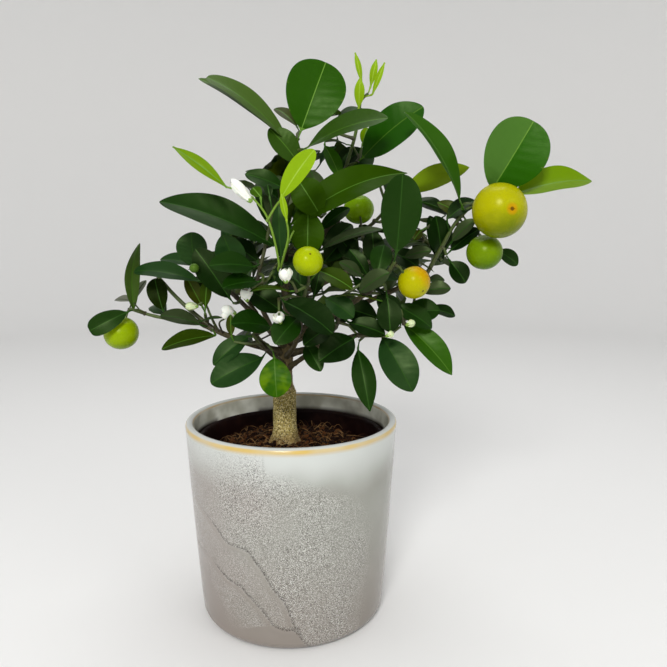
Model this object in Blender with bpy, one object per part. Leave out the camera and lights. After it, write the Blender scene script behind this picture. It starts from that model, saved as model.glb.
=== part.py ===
"""Calamondin orange tree in a glazed pot: pot, grower's pot, soil, trunk, boughs and masses of foliage.

The origin is the middle of the pot's underside, +Z is up and the side that faces the viewer is -Y.
Sizes and places are written in millimetres and become metres when a mesh is made.
"""
import math
import random
from typing import NamedTuple

import bmesh
import bpy
from mathutils import Vector
from mathutils.bvhtree import BVHTree

MM = 0.001
GAP = 0.3
UP = Vector((0.0, 0.0, 1.0))
GOLDEN_ANGLE = math.radians(137.5)

# Glazed pot
POT_TALL = 142.0
POT_RIM = 75.0
POT_FOOT = 57.0
POT_WALL = 5.6
POT_FLOOR = 8.0
POT_ROUND = 40

# Grower's pot that stands inside it, and the soil
LINER_TOP = 130.0
LINER_RIM = 66.5
LINER_FOOT = 54.0
LINER_WALL = 1.4
LINER_BEAD = 1.2
SOIL_TOP = 124.2
SOIL_EDGE = 112.0

# Trunk: radii at heights over the soil, with the root flare and the step where its thick foot was cut back
TRUNK_AXIS = ((-5, 0, 124.5), (-5, 0, 160), (-4, 0, 182), (-3, 0, 206))
TRUNK_RADII = ((0, 10.6), (3, 9.2), (9, 8.4), (24, 8.1), (35, 8.3), (38.5, 7.0), (42, 5.8), (52, 5.2), (81.5, 4.3))
TRUNK_SIDES = 12

# Limbs, twigs and leaf stalks
BOUGH_SIDES = 6
BOUGH_STEPS = 5
STEM_SIDES = 5
STEM_STEPS = 5
STEM_FOOT = 1.7
STEM_TIP = 1.0
TWIG_SIDES = 3
TWIG_STEPS = 2
TWIG_FOOT = 1.15
TWIG_TIP = 0.85
STALK = 0.65
SHORTEST_STALK = 4.0
LONGEST_STALK = 11.0
FINE_STEPS = 5
STRAIGHT_START = 4.0

# Leaf blade: places along it with the share of its half width there, the trough of its two halves, its arch
BLADE = ((0.22, 0.78), (0.55, 1.0), (0.86, 0.68))
BLADE_TROUGH = 0.10
BLADE_ARCH = 0.05
BLADE_THICK = 0.015
THINNEST = 0.9

# Seeded leaves
SIDE_TWIG = 30.0
LEAF_EVERY = 6.0
LEAF_LONG = (24.0, 40.0)
LEAF_SLIM = (0.46, 0.58)
CROWN_HEART = Vector((0.0, 0.0, 225.0))


class Limb(NamedTuple):
    """A bough: the piece it grows out of, its route, and its radii at foot and tip."""
    name: str
    carrier: str
    route: tuple
    foot: float
    tip: float


class Leaf(NamedTuple):
    """One leaf: where its blade starts, its size, its compass heading, its rise and its face's lean to the front."""
    foot: tuple
    long: float
    wide: float
    heading: float
    rise: float
    lean: float


class Ball(NamedTuple):
    """A fruit or a flower bud: its middle and its radius."""
    middle: tuple
    radius: float


class Mass(NamedTuple):
    """Foliage on one stem: its bough, its route from there, its own space, and what it carries."""
    name: str
    bough: str
    route: tuple
    space: tuple
    reach: tuple
    twigs: int
    seed: int
    leaves: tuple = ()
    fruit: tuple = ()
    buds: tuple = ()


LIMBS = (
    Limb("leader", "", ((-3, 0, 206.5), (-2.7, 0, 215), (-3, 2, 232), (1, 6, 262), (6, 10, 290)), 4.0, 2.0),
    Limb("bough_left", "trunk", ((-4, 0, 188), (-30, -9, 197), (-50, -14, 206), (-60, -15, 211)), 3.0, 1.9),
    Limb("bough_left_rise", "trunk", ((-4, 0, 197), (-16, -9, 208), (-30, -18, 224)), 2.4, 1.9),
    Limb("bough_left_low", "trunk", ((-5, 0, 179), (-9, -14, 187), (-13, -25, 193)), 2.2, 1.8),
    Limb("bough_front_left", "trunk", ((-4, 0, 192), (-12, -22, 210), (-18, -42, 230)), 2.4, 1.8),
    Limb("bough_front", "trunk", ((-3, 0, 201), (-1, -24, 216), (-1, -46, 234), (-3, -58, 248)), 2.4, 1.7),
    Limb("bough_front_low", "trunk", ((-4, 0, 185), (3, -22, 196), (8, -42, 210)), 2.2, 1.7),
    Limb("bough_right_front_low", "trunk", ((-4, 0, 176), (14, -19, 192), (27, -31, 206)), 2.2, 1.7),
    Limb("bough_right_front", "trunk", ((-3, 0, 195), (20, -20, 211), (40, -36, 226), (50, -44, 234)), 2.6, 1.8),
    Limb("bough_right_low", "trunk", ((-4, 0, 187), (24, -6, 195), (46, -14, 203), (58, -21, 208)), 2.8, 1.8),
    Limb("bough_right", "trunk", ((-3, 0, 201), (28, 2, 214), (64, -8, 230), (88, -21, 243)), 2.8, 1.8),
    Limb("bough_right_mid", "leader", ((-4, 1, 222), (22, 2, 237), (48, -4, 250), (62, -8, 256)), 2.4, 1.8),
    Limb("bough_upper_right", "leader", ((-2, 3, 241), (14, 2, 260), (30, -4, 280)), 2.2, 1.8),
    Limb("bough_centre", "leader", ((-3, 2, 234), (-3, -8, 248), (-2, -14, 258)), 2.2, 1.8),
    Limb("bough_top", "leader", ((1, 6, 262), (18, 12, 286), (34, 10, 308)), 2.0, 1.7),
    Limb("bough_back_left", "trunk", ((-4, 0, 190), (-22, 25, 206), (-36, 42, 222)), 2.4, 1.8),
    Limb("bough_back", "trunk", ((-4, 0, 183), (3, 28, 202), (8, 46, 219)), 2.4, 1.8),
    Limb("bough_back_right", "trunk", ((-3, 0, 193), (25, 21, 207), (48, 37, 223)), 2.4, 1.8),
    Limb("bough_back_top", "leader", ((-1, 5, 252), (-6, 22, 270), (-10, 32, 284)), 2.0, 1.7),
)

MASSES = (
    Mass("mass_top_left", "leader", ((4, 4, 306), (3, -2, 320), (6, -8, 334)),
         (4, 4, 318), (34, 32, 28), 3, 3,
         leaves=(Leaf((1, -8, 330), 66, 26, 206, 40, 50), Leaf((-2, 1, 338), 66, 24, 186, 31, 20),
                 Leaf((2, -2, 312), 30, 16, 190, 52, 60), Leaf((9, -12, 340), 50, 41, 25, 66, 95),
                 Leaf((13, -14, 328), 58, 26, 332, 17, 35), Leaf((10, 2, 342), 32, 18, 32, 26, -20),
                 Leaf((5, 3, 344), 24, 11, 145, 38, 30))),
    Mass("mass_top", "bough_top", ((40, 10, 322), (46, 6, 344), (49, 4, 371)),
         (44, 14, 326), (30, 32, 24), 3, 5,
         leaves=(Leaf((49, 5, 373), 20, 6, 180, 77, 80), Leaf((47, 2, 356), 19, 8, 285, 82, 90),
                 Leaf((55, 3, 370), 18, 7, 0, 78, 80), Leaf((56, 0, 364), 22, 6, 345, 68, 80),
                 Leaf((50, 0, 324), 50, 27, 340, 37, 25), Leaf((50, 5, 333), 11, 7, 0, 74, 80),
                 Leaf((24, 0, 331), 24, 11, 330, -60, 50), Leaf((51, 14, 330), 26, 17, 150, -30, 60),
                 Leaf((33, 16, 347), 26, 14, 33, 33, 40))),
    Mass("mass_upper_right", "bough_upper_right", ((48, -8, 292), (62, -10, 298), (74, -13, 302)),
         (50, 10, 288), (48, 46, 28), 6, 7,
         leaves=(Leaf((80, -14, 302), 44, 20, 343, 23, -55),),
         fruit=(Ball((48, 18, 289), 10.9),)),
    Mass("mass_centre", "bough_centre", ((-2, -20, 272), (-1, -26, 288), (4, -30, 302)),
         (2, -20, 272), (42, 34, 38), 6, 9,
         leaves=(Leaf((5, -31, 291), 74, 31, 346, 15, 40), Leaf((10, -34, 279), 35, 24, 280, -70, 80))),
    Mass("mass_far_right", "bough_right", ((100, -27, 262), (109, -33, 280), (121, -38, 293)),
         (118, -40, 278), (26, 26, 26), 1, 13,
         leaves=(Leaf((109, -40, 293), 64, 23, 184, 59, 65), Leaf((127, -50, 301), 44, 33, 345, 61, 85),
                 Leaf((141, -48, 297), 50, 24, 15, 11, 40), Leaf((134, -30, 258), 16, 10, 20, -30, 60),
                 Leaf((104, -30, 256), 20, 15, 335, -55, 70), Leaf((102, -36, 281), 24, 13, 19, 33, 40)),
         fruit=(Ball((130, -62, 283), 16.4), Ball((124, -46, 259), 11.3))),
    Mass("mass_right", "bough_right_mid", ((78, -11, 266), (90, -14, 274), (100, -16, 281)),
         (76, 4, 258), (44, 42, 28), 6, 17,
         leaves=(Leaf((104, -20, 284), 26, 16, 151, 25, 30), Leaf((98, -20, 258), 27, 17, 240, 68, 55),
                 Leaf((76, -32, 257), 18, 9, 337, 15, 60))),
    Mass("mass_right_front", "bough_right_front", ((57, -49, 241), (63, -54, 248), (67, -60, 255)),
         (54, -40, 236), (32, 30, 24), 3, 19,
         leaves=(Leaf((68, -63, 262), 45, 25, 280, 77, 85), Leaf((58, -52, 254), 15, 10, 24, 40, 60),
                 Leaf((46, -52, 236), 23, 13, 339, 35, 50), Leaf((64, -46, 232), 24, 17, 285, -72, 75)),
         fruit=(Ball((80, -52, 242), 10.2),)),
    Mass("mass_right_low", "bough_right_low", ((68, -25, 212), (76, -27, 215), (88, -26, 220)),
         (66, -16, 218), (40, 34, 18), 4, 23,
         leaves=(Leaf((76, -30, 211), 46, 19, 332, -40, 50), Leaf((62, -38, 205), 40, 23, 314, -50, 70),
                 Leaf((76, -30, 219), 24, 17, 350, 10, 50), Leaf((94, -22, 222), 18, 11, 353, -12, 40),
                 Leaf((46, -34, 198), 42, 18, 292, -60, 75), Leaf((88, -28, 234), 19, 11, 346, 10, 50),
                 Leaf((94, -16, 240), 13, 8, 25, 8, 40)),
         buds=(Ball((78, -38, 221), 2.6),)),
    Mass("mass_front_low", "bough_right_front_low", ((32, -36, 214), (34, -40, 222), (33, -43, 231)),
         (34, -34, 220), (32, 30, 24), 4, 29,
         leaves=(Leaf((12, -38, 201), 23, 13, 308, -43, 65), Leaf((28, -42, 213), 24, 14, 223, -22, 60),
                 Leaf((25, -48, 232), 22, 15, 337, -30, 55), Leaf((40, -46, 216), 24, 14, 348, -15, 55),
                 Leaf((43, -40, 205), 30, 21, 218, -22, 60))),
    Mass("mass_front", "bough_front_low", ((10, -50, 220), (11, -56, 230), (15, -60, 243)),
         (4, -50, 232), (32, 30, 28), 4, 31,
         leaves=(Leaf((2, -62, 232), 38, 26, 321, -24, 60), Leaf((21, -62, 250), 24, 13, 338, -24, 50),
                 Leaf((8, -60, 221), 24, 17, 231, -33, 60)),
         fruit=(Ball((15, -73, 256), 8.9),),
         buds=(Ball((2, -74, 254), 4.2), Ball((-5, -75, 221), 3.8))),
    Mass("mass_young", "bough_front", ((-5, -64, 260), (-9, -70, 276), (-14, -75, 292)),
         (-8, -62, 262), (20, 20, 22), 2, 37,
         leaves=(Leaf((0, -77, 292), 35, 12, 6, 57, 70), Leaf((2, -78, 289), 17, 8, 295, -55, 80),
                 Leaf((-22, -76, 297), 40, 11, 194, 34, 60), Leaf((-11, -72, 293), 9, 6, 60, 60, 60)),
         buds=(Ball((-17, -83, 300), 3.6),)),
    Mass("mass_front_left", "bough_front_left", ((-17, -50, 246), (-12, -52, 264), (-7, -54, 286)),
         (-22, -46, 252), (38, 32, 32), 6, 41,
         leaves=(Leaf((-17, -53, 266), 62, 30, 205, 23, 50), Leaf((-3, -58, 300), 24, 12, 190, 21, 60),
                 Leaf((-4, -50, 293), 18, 10, 162, 36, 50), Leaf((-30, -49, 250), 25, 18, 243, 57, 70),
                 Leaf((-18, -44, 255), 22, 15, 180, 33, 50), Leaf((-18, -60, 252), 28, 17, 208, 5, 50),
                 Leaf((-16, -62, 243), 24, 15, 219, -3, 45)),
         buds=(Ball((-23, -64, 230), 3.7), Ball((-35, -60, 225), 3.9))),
    Mass("mass_left", "bough_left_rise", ((-40, -20, 234), (-50, -20, 242), (-60, -18, 248)),
         (-46, -8, 240), (36, 36, 26), 6, 43,
         leaves=(Leaf((-62, -22, 250), 23, 21, 245, 82, 85), Leaf((-64, -26, 242), 38, 19, 202, 12, 35),
                 Leaf((-64, -10, 250), 26, 13, 170, 13, 30), Leaf((-37, -38, 231), 38, 19, 185, 57, 60)),
         fruit=(Ball((-65, -18, 240), 2.8),)),
    Mass("mass_left_tip", "bough_left", ((-76, -15, 214), (-92, -13, 216), (-110, -11, 221)),
         (-80, -6, 222), (34, 28, 20), 3, 47,
         leaves=(Leaf((-107, -10, 224), 45, 12, 345, 68, 50), Leaf((-113, -10, 227), 15, 9, 152, 8, 30),
                 Leaf((-106, -6, 226), 18, 8, 62, 50, 40), Leaf((-114, -14, 219), 28, 18, 216, -13, 45),
                 Leaf((-88, -8, 235), 16, 13, 232, -28, 60), Leaf((-66, -20, 211), 26, 13, 205, 11, 35),
                 Leaf((-72, -27, 206), 32, 15, 216, -10, 35)),
         fruit=(Ball((-116, -18, 204), 11.9),)),
    Mass("mass_left_low", "bough_left_low", ((-16, -30, 197), (-19, -36, 202), (-22, -42, 208)),
         (-26, -30, 206), (32, 28, 17), 3, 53,
         leaves=(Leaf((-27, -33, 203), 29, 18, 223, -27, 55), Leaf((-17, -36, 189), 40, 22, 222, -22, 55),
                 Leaf((-9, -34, 190), 25, 22, 284, -66, 80), Leaf((-10, -50, 214), 28, 18, 220, 11, 50)),
         buds=(Ball((-62, -22, 222), 2.6),)),
    Mass("mass_back_left", "bough_back_left", ((-42, 48, 232), (-47, 53, 243), (-50, 56, 254)),
         (-34, 44, 238), (54, 52, 42), 8, 59),
    Mass("mass_back", "bough_back", ((10, 54, 229), (11, 61, 241), (12, 66, 254)),
         (10, 58, 240), (52, 54, 44), 8, 61),
    Mass("mass_back_right", "bough_back_right", ((58, 43, 233), (66, 47, 243), (72, 50, 255)),
         (58, 42, 240), (54, 54, 42), 8, 67),
    Mass("mass_back_top", "bough_back_top", ((-12, 38, 294), (-12, 42, 304), (-12, 45, 315)),
         (0, 36, 296), (46, 46, 40), 7, 71),
)


def unit(vector):
    """The vector cut to a length of one."""
    return vector.normalized()


def smooth(route, steps):
    """Evenly stepped points on a Catmull-Rom curve that passes through every point of the route."""
    points = [Vector(p) for p in route]
    ends = [2 * points[0] - points[1]] + points + [2 * points[-1] - points[-2]]
    spans = len(points) - 1
    curve = []
    for step in range(steps + 1):
        place = spans * step / steps
        span = min(int(place), spans - 1)
        t = place - span
        a, b, c, d = ends[span:span + 4]
        curve.append(0.5 * (2 * b + (c - a) * t + (2 * a - 5 * b + 4 * c - d) * t * t
                            + (3 * b - a - 3 * c + d) * t ** 3))
    return curve


def ways(curve):
    """The direction of travel at each point of a curve."""
    last = len(curve) - 1
    return [unit(curve[min(i + 1, last)] - curve[max(i - 1, 0)]) for i in range(last + 1)]


def across(way):
    """A level vector at right angles to a direction, or the X axis turned square where it runs upright."""
    level = way.cross(UP)
    if level.length < 0.2:
        level = way.cross(Vector((0.0, 1.0, 0.0)))
    return unit(level)


def tube(curve, radii, sides):
    """A closed tube: one ring of points round each point of the curve, each ring turned least from the last."""
    side = across(ways(curve)[0])
    points = []
    for middle, way, radius in zip(curve, ways(curve), radii):
        side = unit(side - way * side.dot(way))
        over = side.cross(way)
        for k in range(sides):
            angle = math.tau * k / sides
            points.append(middle + (side * math.cos(angle) + over * math.sin(angle)) * radius)
    return points, skin(len(curve), sides)


def skin(rings, sides):
    """Faces that join rings of points and close both ends."""
    faces = [tuple(range(sides)), tuple(reversed(range((rings - 1) * sides, rings * sides)))]
    for ring in range(rings - 1):
        for k in range(sides):
            a, b = ring * sides + k, ring * sides + (k + 1) % sides
            faces.append((a, a + sides, b + sides, b))
    return faces


def taper(foot, tip, steps):
    """Radii that shrink evenly from foot to tip."""
    return [foot + (tip - foot) * i / steps for i in range(steps + 1)]


def heading_way(heading, rise):
    """The direction at a compass heading, counted from +X towards +Y, and a rise over the level."""
    turn, lift = math.radians(heading), math.radians(rise)
    return Vector((math.cos(turn) * math.cos(lift), math.sin(turn) * math.cos(lift), math.sin(lift)))


def leaf_solid(root, foot, long, wide, way, face, fat=0.0):
    """One leaf as a closed solid: a three-sided stalk from its root that widens into the blade.

    Each cross-section has a left edge, a right edge and an underside, and the blade ends in a point.
    It arches along its length, and its edges stand a little over the midrib.
    """
    normal = unit(face - way * face.dot(way))
    side = way.cross(normal)
    stalk_way = unit(foot - root)
    stalk_side = stalk_way.cross(normal - stalk_way * normal.dot(stalk_way))
    if stalk_side.length < 0.3:
        stalk_side = side - stalk_way * side.dot(stalk_way)
    stalk_side = unit(stalk_side)
    stalk_over = stalk_side.cross(stalk_way)
    thick = max(THINNEST, BLADE_THICK * long) + fat
    stalk = STALK + fat
    points = []
    for middle in (root, foot):
        points += [middle - stalk_side * stalk + stalk_over * (stalk / 2),
                   middle + stalk_side * stalk + stalk_over * (stalk / 2), middle - stalk_over * stalk]
    for place, share in BLADE:
        half = share * wide / 2 + fat
        middle = foot + way * (long * place) + normal * (BLADE_ARCH * long * 4 * place * (1 - place))
        lift = normal * (BLADE_TROUGH * half + fat)
        points += [middle - side * half + lift, middle + side * half + lift, middle - normal * thick]
    points.append(foot + way * (long + fat))
    last = len(points) - 1
    faces = skin(2 + len(BLADE), 3)
    faces.pop(1)
    faces += [(last - 3 + k, last, last - 3 + (k + 1) % 3) for k in range(3)]
    return points, faces


def blade_only(mesh):
    """The blade without its stalk, for the test against its own mass."""
    points, faces = mesh
    return points[3:], [tuple(i - 3 for i in face) for face in faces if min(face) >= 3]


def ball_solid(middle, radius, around, rows, tall=1.0):
    """A closed ball with rings of points between its two poles."""
    points = [middle + UP * (radius * tall)]
    for row in range(1, rows):
        polar = math.pi * row / rows
        for k in range(around):
            turn = math.tau * k / around
            points.append(middle + Vector((math.cos(turn) * math.sin(polar), math.sin(turn) * math.sin(polar),
                                           math.cos(polar) * tall)) * radius)
    points.append(middle - UP * (radius * tall))
    last = len(points) - 1
    faces = [(0, 1 + k, 1 + (k + 1) % around) for k in range(around)]
    for row in range(rows - 2):
        for k in range(around):
            a, b = 1 + row * around + k, 1 + row * around + (k + 1) % around
            faces.append((a, a + around, b + around, b))
    faces += [(last, last - around + (k + 1) % around, last - around + k) for k in range(around)]
    return points, faces


class Piece:
    """A stem, twig, leaf, fruit or bud of one mass, with the fatter shapes that test what it touches."""

    def __init__(self, kind, mesh, fat, far, parent):
        self.kind = kind
        self.mesh = mesh
        self.parent = parent
        self.fat = Shape(fat)
        self.far = Shape(far)


class Shape:
    """A mesh that can be asked whether it touches another."""

    def __init__(self, mesh):
        points, faces = mesh
        self.tree = BVHTree.FromPolygons(points, faces)
        self.low = [min(p[i] for p in points) for i in range(3)]
        self.high = [max(p[i] for p in points) for i in range(3)]

    def touches(self, other):
        apart = any(self.low[i] > other.high[i] or other.low[i] > self.high[i] for i in range(3))
        return not apart and bool(self.tree.overlap(other.tree))


class Shoot:
    """A stem or twig: the bends of its axis, the finer points between them, and the piece that draws it."""

    def __init__(self, bends, foot, tip, sides, kind, parent):
        self.curve = [a.lerp(b, k / FINE_STEPS) for a, b in zip(bends, bends[1:]) for k in range(FINE_STEPS)]
        self.curve.append(bends[-1])
        self.way = ways(self.curve)
        radii = taper(foot, tip, len(bends) - 1)
        fat_radii = [radius + GAP for radius in radii]
        late = [bends[0].lerp(bends[1], 0.6)] + bends[1:]
        self.piece = Piece(kind, tube(bends, radii, sides), tube(bends, fat_radii, sides),
                           tube(late, fat_radii, sides), parent)

    def length(self):
        return sum((b - a).length for a, b in zip(self.curve, self.curve[1:]))

    def at(self, place):
        index = min(int(round(place * (len(self.curve) - 1))), len(self.curve) - 1)
        return self.curve[index], self.way[index]


def side_twig(route, parent, foot=TWIG_FOOT, tip=TWIG_TIP):
    """A three-sided twig that tapers along its route, grown from the piece that is its parent."""
    return Shoot(smooth(route, TWIG_STEPS), foot, tip, TWIG_SIDES, "twig", parent)


def leaf_piece(root, foot, long, wide, way, face, parent):
    """The solid of one leaf, rooted on the axis of its shoot."""
    fat = leaf_solid(root, foot, long, wide, way, face, GAP)
    return Piece("leaf", leaf_solid(root, foot, long, wide, way, face), fat, blade_only(fat), parent)


def ball_piece(ball, around, rows, tall, parent, kind):
    """The solid of one fruit or bud."""
    middle = Vector(ball.middle)
    fat = ball_solid(middle, ball.radius + GAP, around, rows, tall)
    return Piece(kind, ball_solid(middle, ball.radius, around, rows, tall), fat, fat, parent)


def nearest(shoots, point):
    """The place on the shoots that lies nearest to a point, a little way up from each shoot's foot."""
    found = []
    for shoot in shoots:
        skip = max(1, int(3.0 / shoot.length() * len(shoot.curve)))
        found += [((place - point).length, index, place, shoot)
                  for index, place in enumerate(shoot.curve) if index >= skip]
    gap, index, place, shoot = min(found, key=lambda entry: entry[0])
    return gap, place, shoot


def reach_for(shoots, pieces, foot, way):
    """A root for a stalk that ends at foot: on the nearest shoot, or on a new twig where that is far off."""
    gap, root, shoot = nearest(shoots, foot)
    if gap > LONGEST_STALK:
        end = foot - way * SHORTEST_STALK
        middle = (root + end) / 2 + (shoot.way[-1] - way) * (0.10 * gap)
        twig = side_twig((root, middle, end), shoot.piece)
        pieces.append(twig.piece)
        shoots.append(twig)
        return twig.curve[-2], twig
    return root, shoot


def named_pieces(mass):
    """The stem of a mass, and the leaves, fruit and buds that are placed by hand with the twigs they need."""
    bough = smooth(next(limb.route for limb in LIMBS if limb.name == mass.bough), BOUGH_STEPS)
    along = unit(bough[-1] - bough[-2])
    rest = smooth([bough[-1] + along * STRAIGHT_START] + [Vector(p) for p in mass.route], STEM_STEPS)
    stem = Shoot([bough[-1] + along * GAP] + rest, STEM_FOOT, STEM_TIP, STEM_SIDES, "stem", None)
    shoots, pieces = [stem], [stem.piece]
    for leaf in mass.leaves:
        way = heading_way(leaf.heading, leaf.rise)
        face = heading_way(270.0, 90.0 - leaf.lean)
        root, shoot = reach_for(shoots, pieces, Vector(leaf.foot), way)
        pieces.append(leaf_piece(root, Vector(leaf.foot), leaf.long, leaf.wide, way, face, shoot.piece))
    for kind, balls, around, rows, tall in (("fruit", mass.fruit, 10, 6, 0.93), ("bud", mass.buds, 6, 4, 1.25)):
        for ball in balls:
            middle = Vector(ball.middle)
            gap, root, shoot = nearest(shoots, middle + UP * ball.radius)
            end = middle + unit(root - middle) * (ball.radius * 0.8)
            bend = (root + end) / 2 + UP * (0.12 * gap)
            stalk = side_twig((root, bend, end), shoot.piece, TWIG_TIP, STALK).piece
            pieces += [stalk, ball_piece(ball, around, rows, tall, stalk, kind)]
    return shoots, pieces


def seeded_pieces(mass, shoots):
    """Side twigs and leaves by the seeded rule.

    Each side twig leaves the stem a golden angle round from the last, and bends upward. Each leaf does
    the same on its shoot, leaning along it, and turns its face up and away from the crown's heart.
    """
    draw = random.Random(mass.seed)
    pieces = []
    start = draw.uniform(0.0, math.tau)
    for number in range(mass.twigs):
        root, along = shoots[0].at((number + 0.8) / (mass.twigs + 0.6))
        way = unit(around(along, start + number * GOLDEN_ANGLE) + along * 0.45 + UP * 0.25)
        long = SIDE_TWIG * draw.uniform(0.7, 1.15)
        route = (root, root + way * (0.5 * long), root + way * long + UP * (0.12 * long))
        twig = side_twig(route, shoots[0].piece)
        pieces.append(twig.piece)
        shoots.append(twig)
    for shoot in shoots:
        turn = draw.uniform(0.0, math.tau)
        count = max(2, round(shoot.length() / LEAF_EVERY))
        for number in range(count):
            root, along = shoot.at((number + 0.9) / count)
            lean = 0.55 + 0.9 * (number + 1) / count
            way = unit(around(along, turn + number * GOLDEN_ANGLE) + along * lean)
            long = draw.uniform(*LEAF_LONG)
            wide = long * draw.uniform(*LEAF_SLIM)
            foot = root + way * draw.uniform(5.0, 8.0)
            face = UP + unit(foot - CROWN_HEART) * draw.uniform(0.3, 0.9)
            if inside(mass, foot) and inside(mass, foot + way * (0.8 * long)):
                pieces.append(leaf_piece(root, foot, long, wide, way, face, shoot.piece))
    return pieces


def around(along, turn):
    """A direction square to a shoot, at an angle round it."""
    side = across(along)
    return side * math.cos(turn) + side.cross(along) * math.sin(turn)


def inside(mass, point):
    """Whether a point lies in the ellipsoid that is the mass's own space."""
    return sum(((point[i] - mass.space[i]) / mass.reach[i]) ** 2 for i in range(3)) <= 1.0


def admit(name, pieces, kept, limbs):
    """Keep each piece whose parent is kept and that touches no limb, no other mass and no leaf of its own mass."""
    for piece in pieces:
        if piece.parent is not None and piece.parent not in kept[name]:
            continue
        if any(piece.fat.touches(limb) for limb in limbs):
            continue
        if any(piece.fat.touches(other.fat) for mass in kept if mass != name for other in kept[mass]):
            continue
        if any(piece.far.touches(other.far) for other in kept[name] if other is not piece.parent):
            continue
        kept[name].append(piece)


def without_bare_twigs(pieces):
    """The pieces of a mass, less each twig that carries nothing."""
    carriers = {piece.parent for piece in pieces}
    return [piece for piece in pieces if piece.kind != "twig" or piece in carriers]


def make_object(name, mesh_points, faces, colour, roughness):
    """A named object with its own material, from points in millimetres."""
    mesh = bpy.data.meshes.new(name)
    mesh.from_pydata([p * MM for p in mesh_points], [], faces)
    model = bmesh.new()
    model.from_mesh(mesh)
    bmesh.ops.recalc_face_normals(model, faces=model.faces)
    if model.calc_volume(signed=True) < 0:
        bmesh.ops.reverse_faces(model, faces=model.faces)
    model.to_mesh(mesh)
    model.free()
    item = bpy.data.objects.new(name, mesh)
    bpy.context.scene.collection.objects.link(item)
    material = bpy.data.materials.new(name)
    material.use_nodes = True
    shader = material.node_tree.nodes["Principled BSDF"]
    shader.inputs["Base Color"].default_value = (*colour, 1.0)
    shader.inputs["Roughness"].default_value = roughness
    mesh.materials.append(material)
    return item


def turned(name, profile, colour, roughness, steps=POT_ROUND):
    """A turned piece: a profile of radius and height, from its axis to its axis, spun once round."""
    model = bmesh.new()
    line = [model.verts.new((radius * MM, 0.0, height * MM)) for radius, height in profile]
    edges = [model.edges.new(pair) for pair in zip(line, line[1:])]
    bmesh.ops.spin(model, geom=line + edges, cent=(0, 0, 0), axis=(0, 0, 1), angle=math.tau, steps=steps)
    bmesh.ops.remove_doubles(model, verts=model.verts, dist=0.01 * MM)
    points = [vertex.co / MM for vertex in model.verts]
    faces = [tuple(vertex.index for vertex in face.verts) for face in model.faces]
    model.free()
    item = make_object(name, points, faces, colour, roughness)
    item.data.shade_smooth()
    item.data.set_sharp_from_angle(angle=math.radians(40))
    return item


def arc(middle, radius, start, end, steps):
    """Points of radius and height on a round stretch of a profile, its angles in degrees from the outside."""
    angles = [math.radians(start + (end - start) * i / steps) for i in range(steps + 1)]
    return [(middle[0] + radius * math.cos(a), middle[1] + radius * math.sin(a)) for a in angles]


def make_pot():
    """The glazed pot: flat underside, rounded foot, walls that widen evenly, and a rounded lip."""
    lip = POT_WALL / 2
    outside = [(0, 0), (POT_FOOT, 0)] + arc((POT_FOOT, 9.0), 9.0, -70, -15, 3)
    outside += [(67.9, 31), (70.2, 64), (72.6, 100)]
    top = arc((POT_RIM - lip, POT_TALL - lip), lip, 0, 180, 4)
    inside_wall = [(POT_RIM - POT_WALL - 3.2, 80), (62.4, 24)] + arc((55.0, POT_FLOOR + 7.0), 7.0, 0, -90, 2)
    return turned("pot", outside + top + inside_wall + [(0, POT_FLOOR)], (0.62, 0.62, 0.60), 0.25)


def liner_radius(height):
    """The outer radius of the grower's pot at a height, which widens evenly from its foot."""
    foot = POT_FLOOR + GAP
    return LINER_FOOT + (LINER_RIM - LINER_BEAD - LINER_FOOT) * (height - foot) / (LINER_TOP - foot)


def make_grower_pot():
    """The thin plastic pot that the tree was grown in, with a bead round its rim."""
    foot = POT_FLOOR + GAP
    bead = LINER_TOP - 3.0
    profile = [(0, foot), (LINER_FOOT, foot), (liner_radius(bead), bead), (LINER_RIM, bead), (LINER_RIM, LINER_TOP),
               (LINER_RIM - LINER_BEAD - LINER_WALL, LINER_TOP),
               (liner_radius(foot + LINER_WALL) - LINER_WALL, foot + LINER_WALL), (0, foot + LINER_WALL)]
    return turned("grower_pot", profile, (0.03, 0.02, 0.02), 0.5)


def make_soil():
    """The peat: a block that fills the grower's pot, mounded in the middle and sunk at its edge."""
    bottom = POT_FLOOR + LINER_WALL + 2 * GAP
    play = LINER_WALL + GAP + 0.1
    profile = [(0, bottom), (liner_radius(bottom) - play, bottom), (liner_radius(SOIL_EDGE) - play, SOIL_EDGE),
               (56, 115), (50, 119.5), (43, 122.3), (32, 123.7), (20, SOIL_TOP), (0, SOIL_TOP)]
    return turned("soil", profile, (0.06, 0.03, 0.015), 0.95)


def trunk_mesh(extra=0.0):
    """The trunk's tube, with its rings at the heights where its radius is given."""
    tall = TRUNK_RADII[-1][0]
    curve = smooth(TRUNK_AXIS, 60)
    rings = [curve[round(60 * height / tall)] for height, radius in TRUNK_RADII]
    for ring, (height, radius) in zip(rings, TRUNK_RADII):
        ring.z = TRUNK_AXIS[0][2] + height
    return tube(rings, [radius + extra for height, radius in TRUNK_RADII], TRUNK_SIDES)


def limb_mesh(limb, extra=0.0):
    """A limb's tapering tube."""
    curve = smooth(limb.route, BOUGH_STEPS)
    return tube(curve, taper(limb.foot + extra, limb.tip + extra, BOUGH_STEPS), BOUGH_SIDES)


def cut_clear(item, cutter_mesh):
    """Cut a limb's foot to the saddle shape of what carries it, a gap clear of it."""
    cutter = make_object("cutter", *cutter_mesh, (1, 1, 1), 1.0)
    cut = item.modifiers.new("saddle", "BOOLEAN")
    cut.operation = "DIFFERENCE"
    cut.object = cutter
    apply_modifiers(item)
    bpy.data.objects.remove(cutter)


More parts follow.
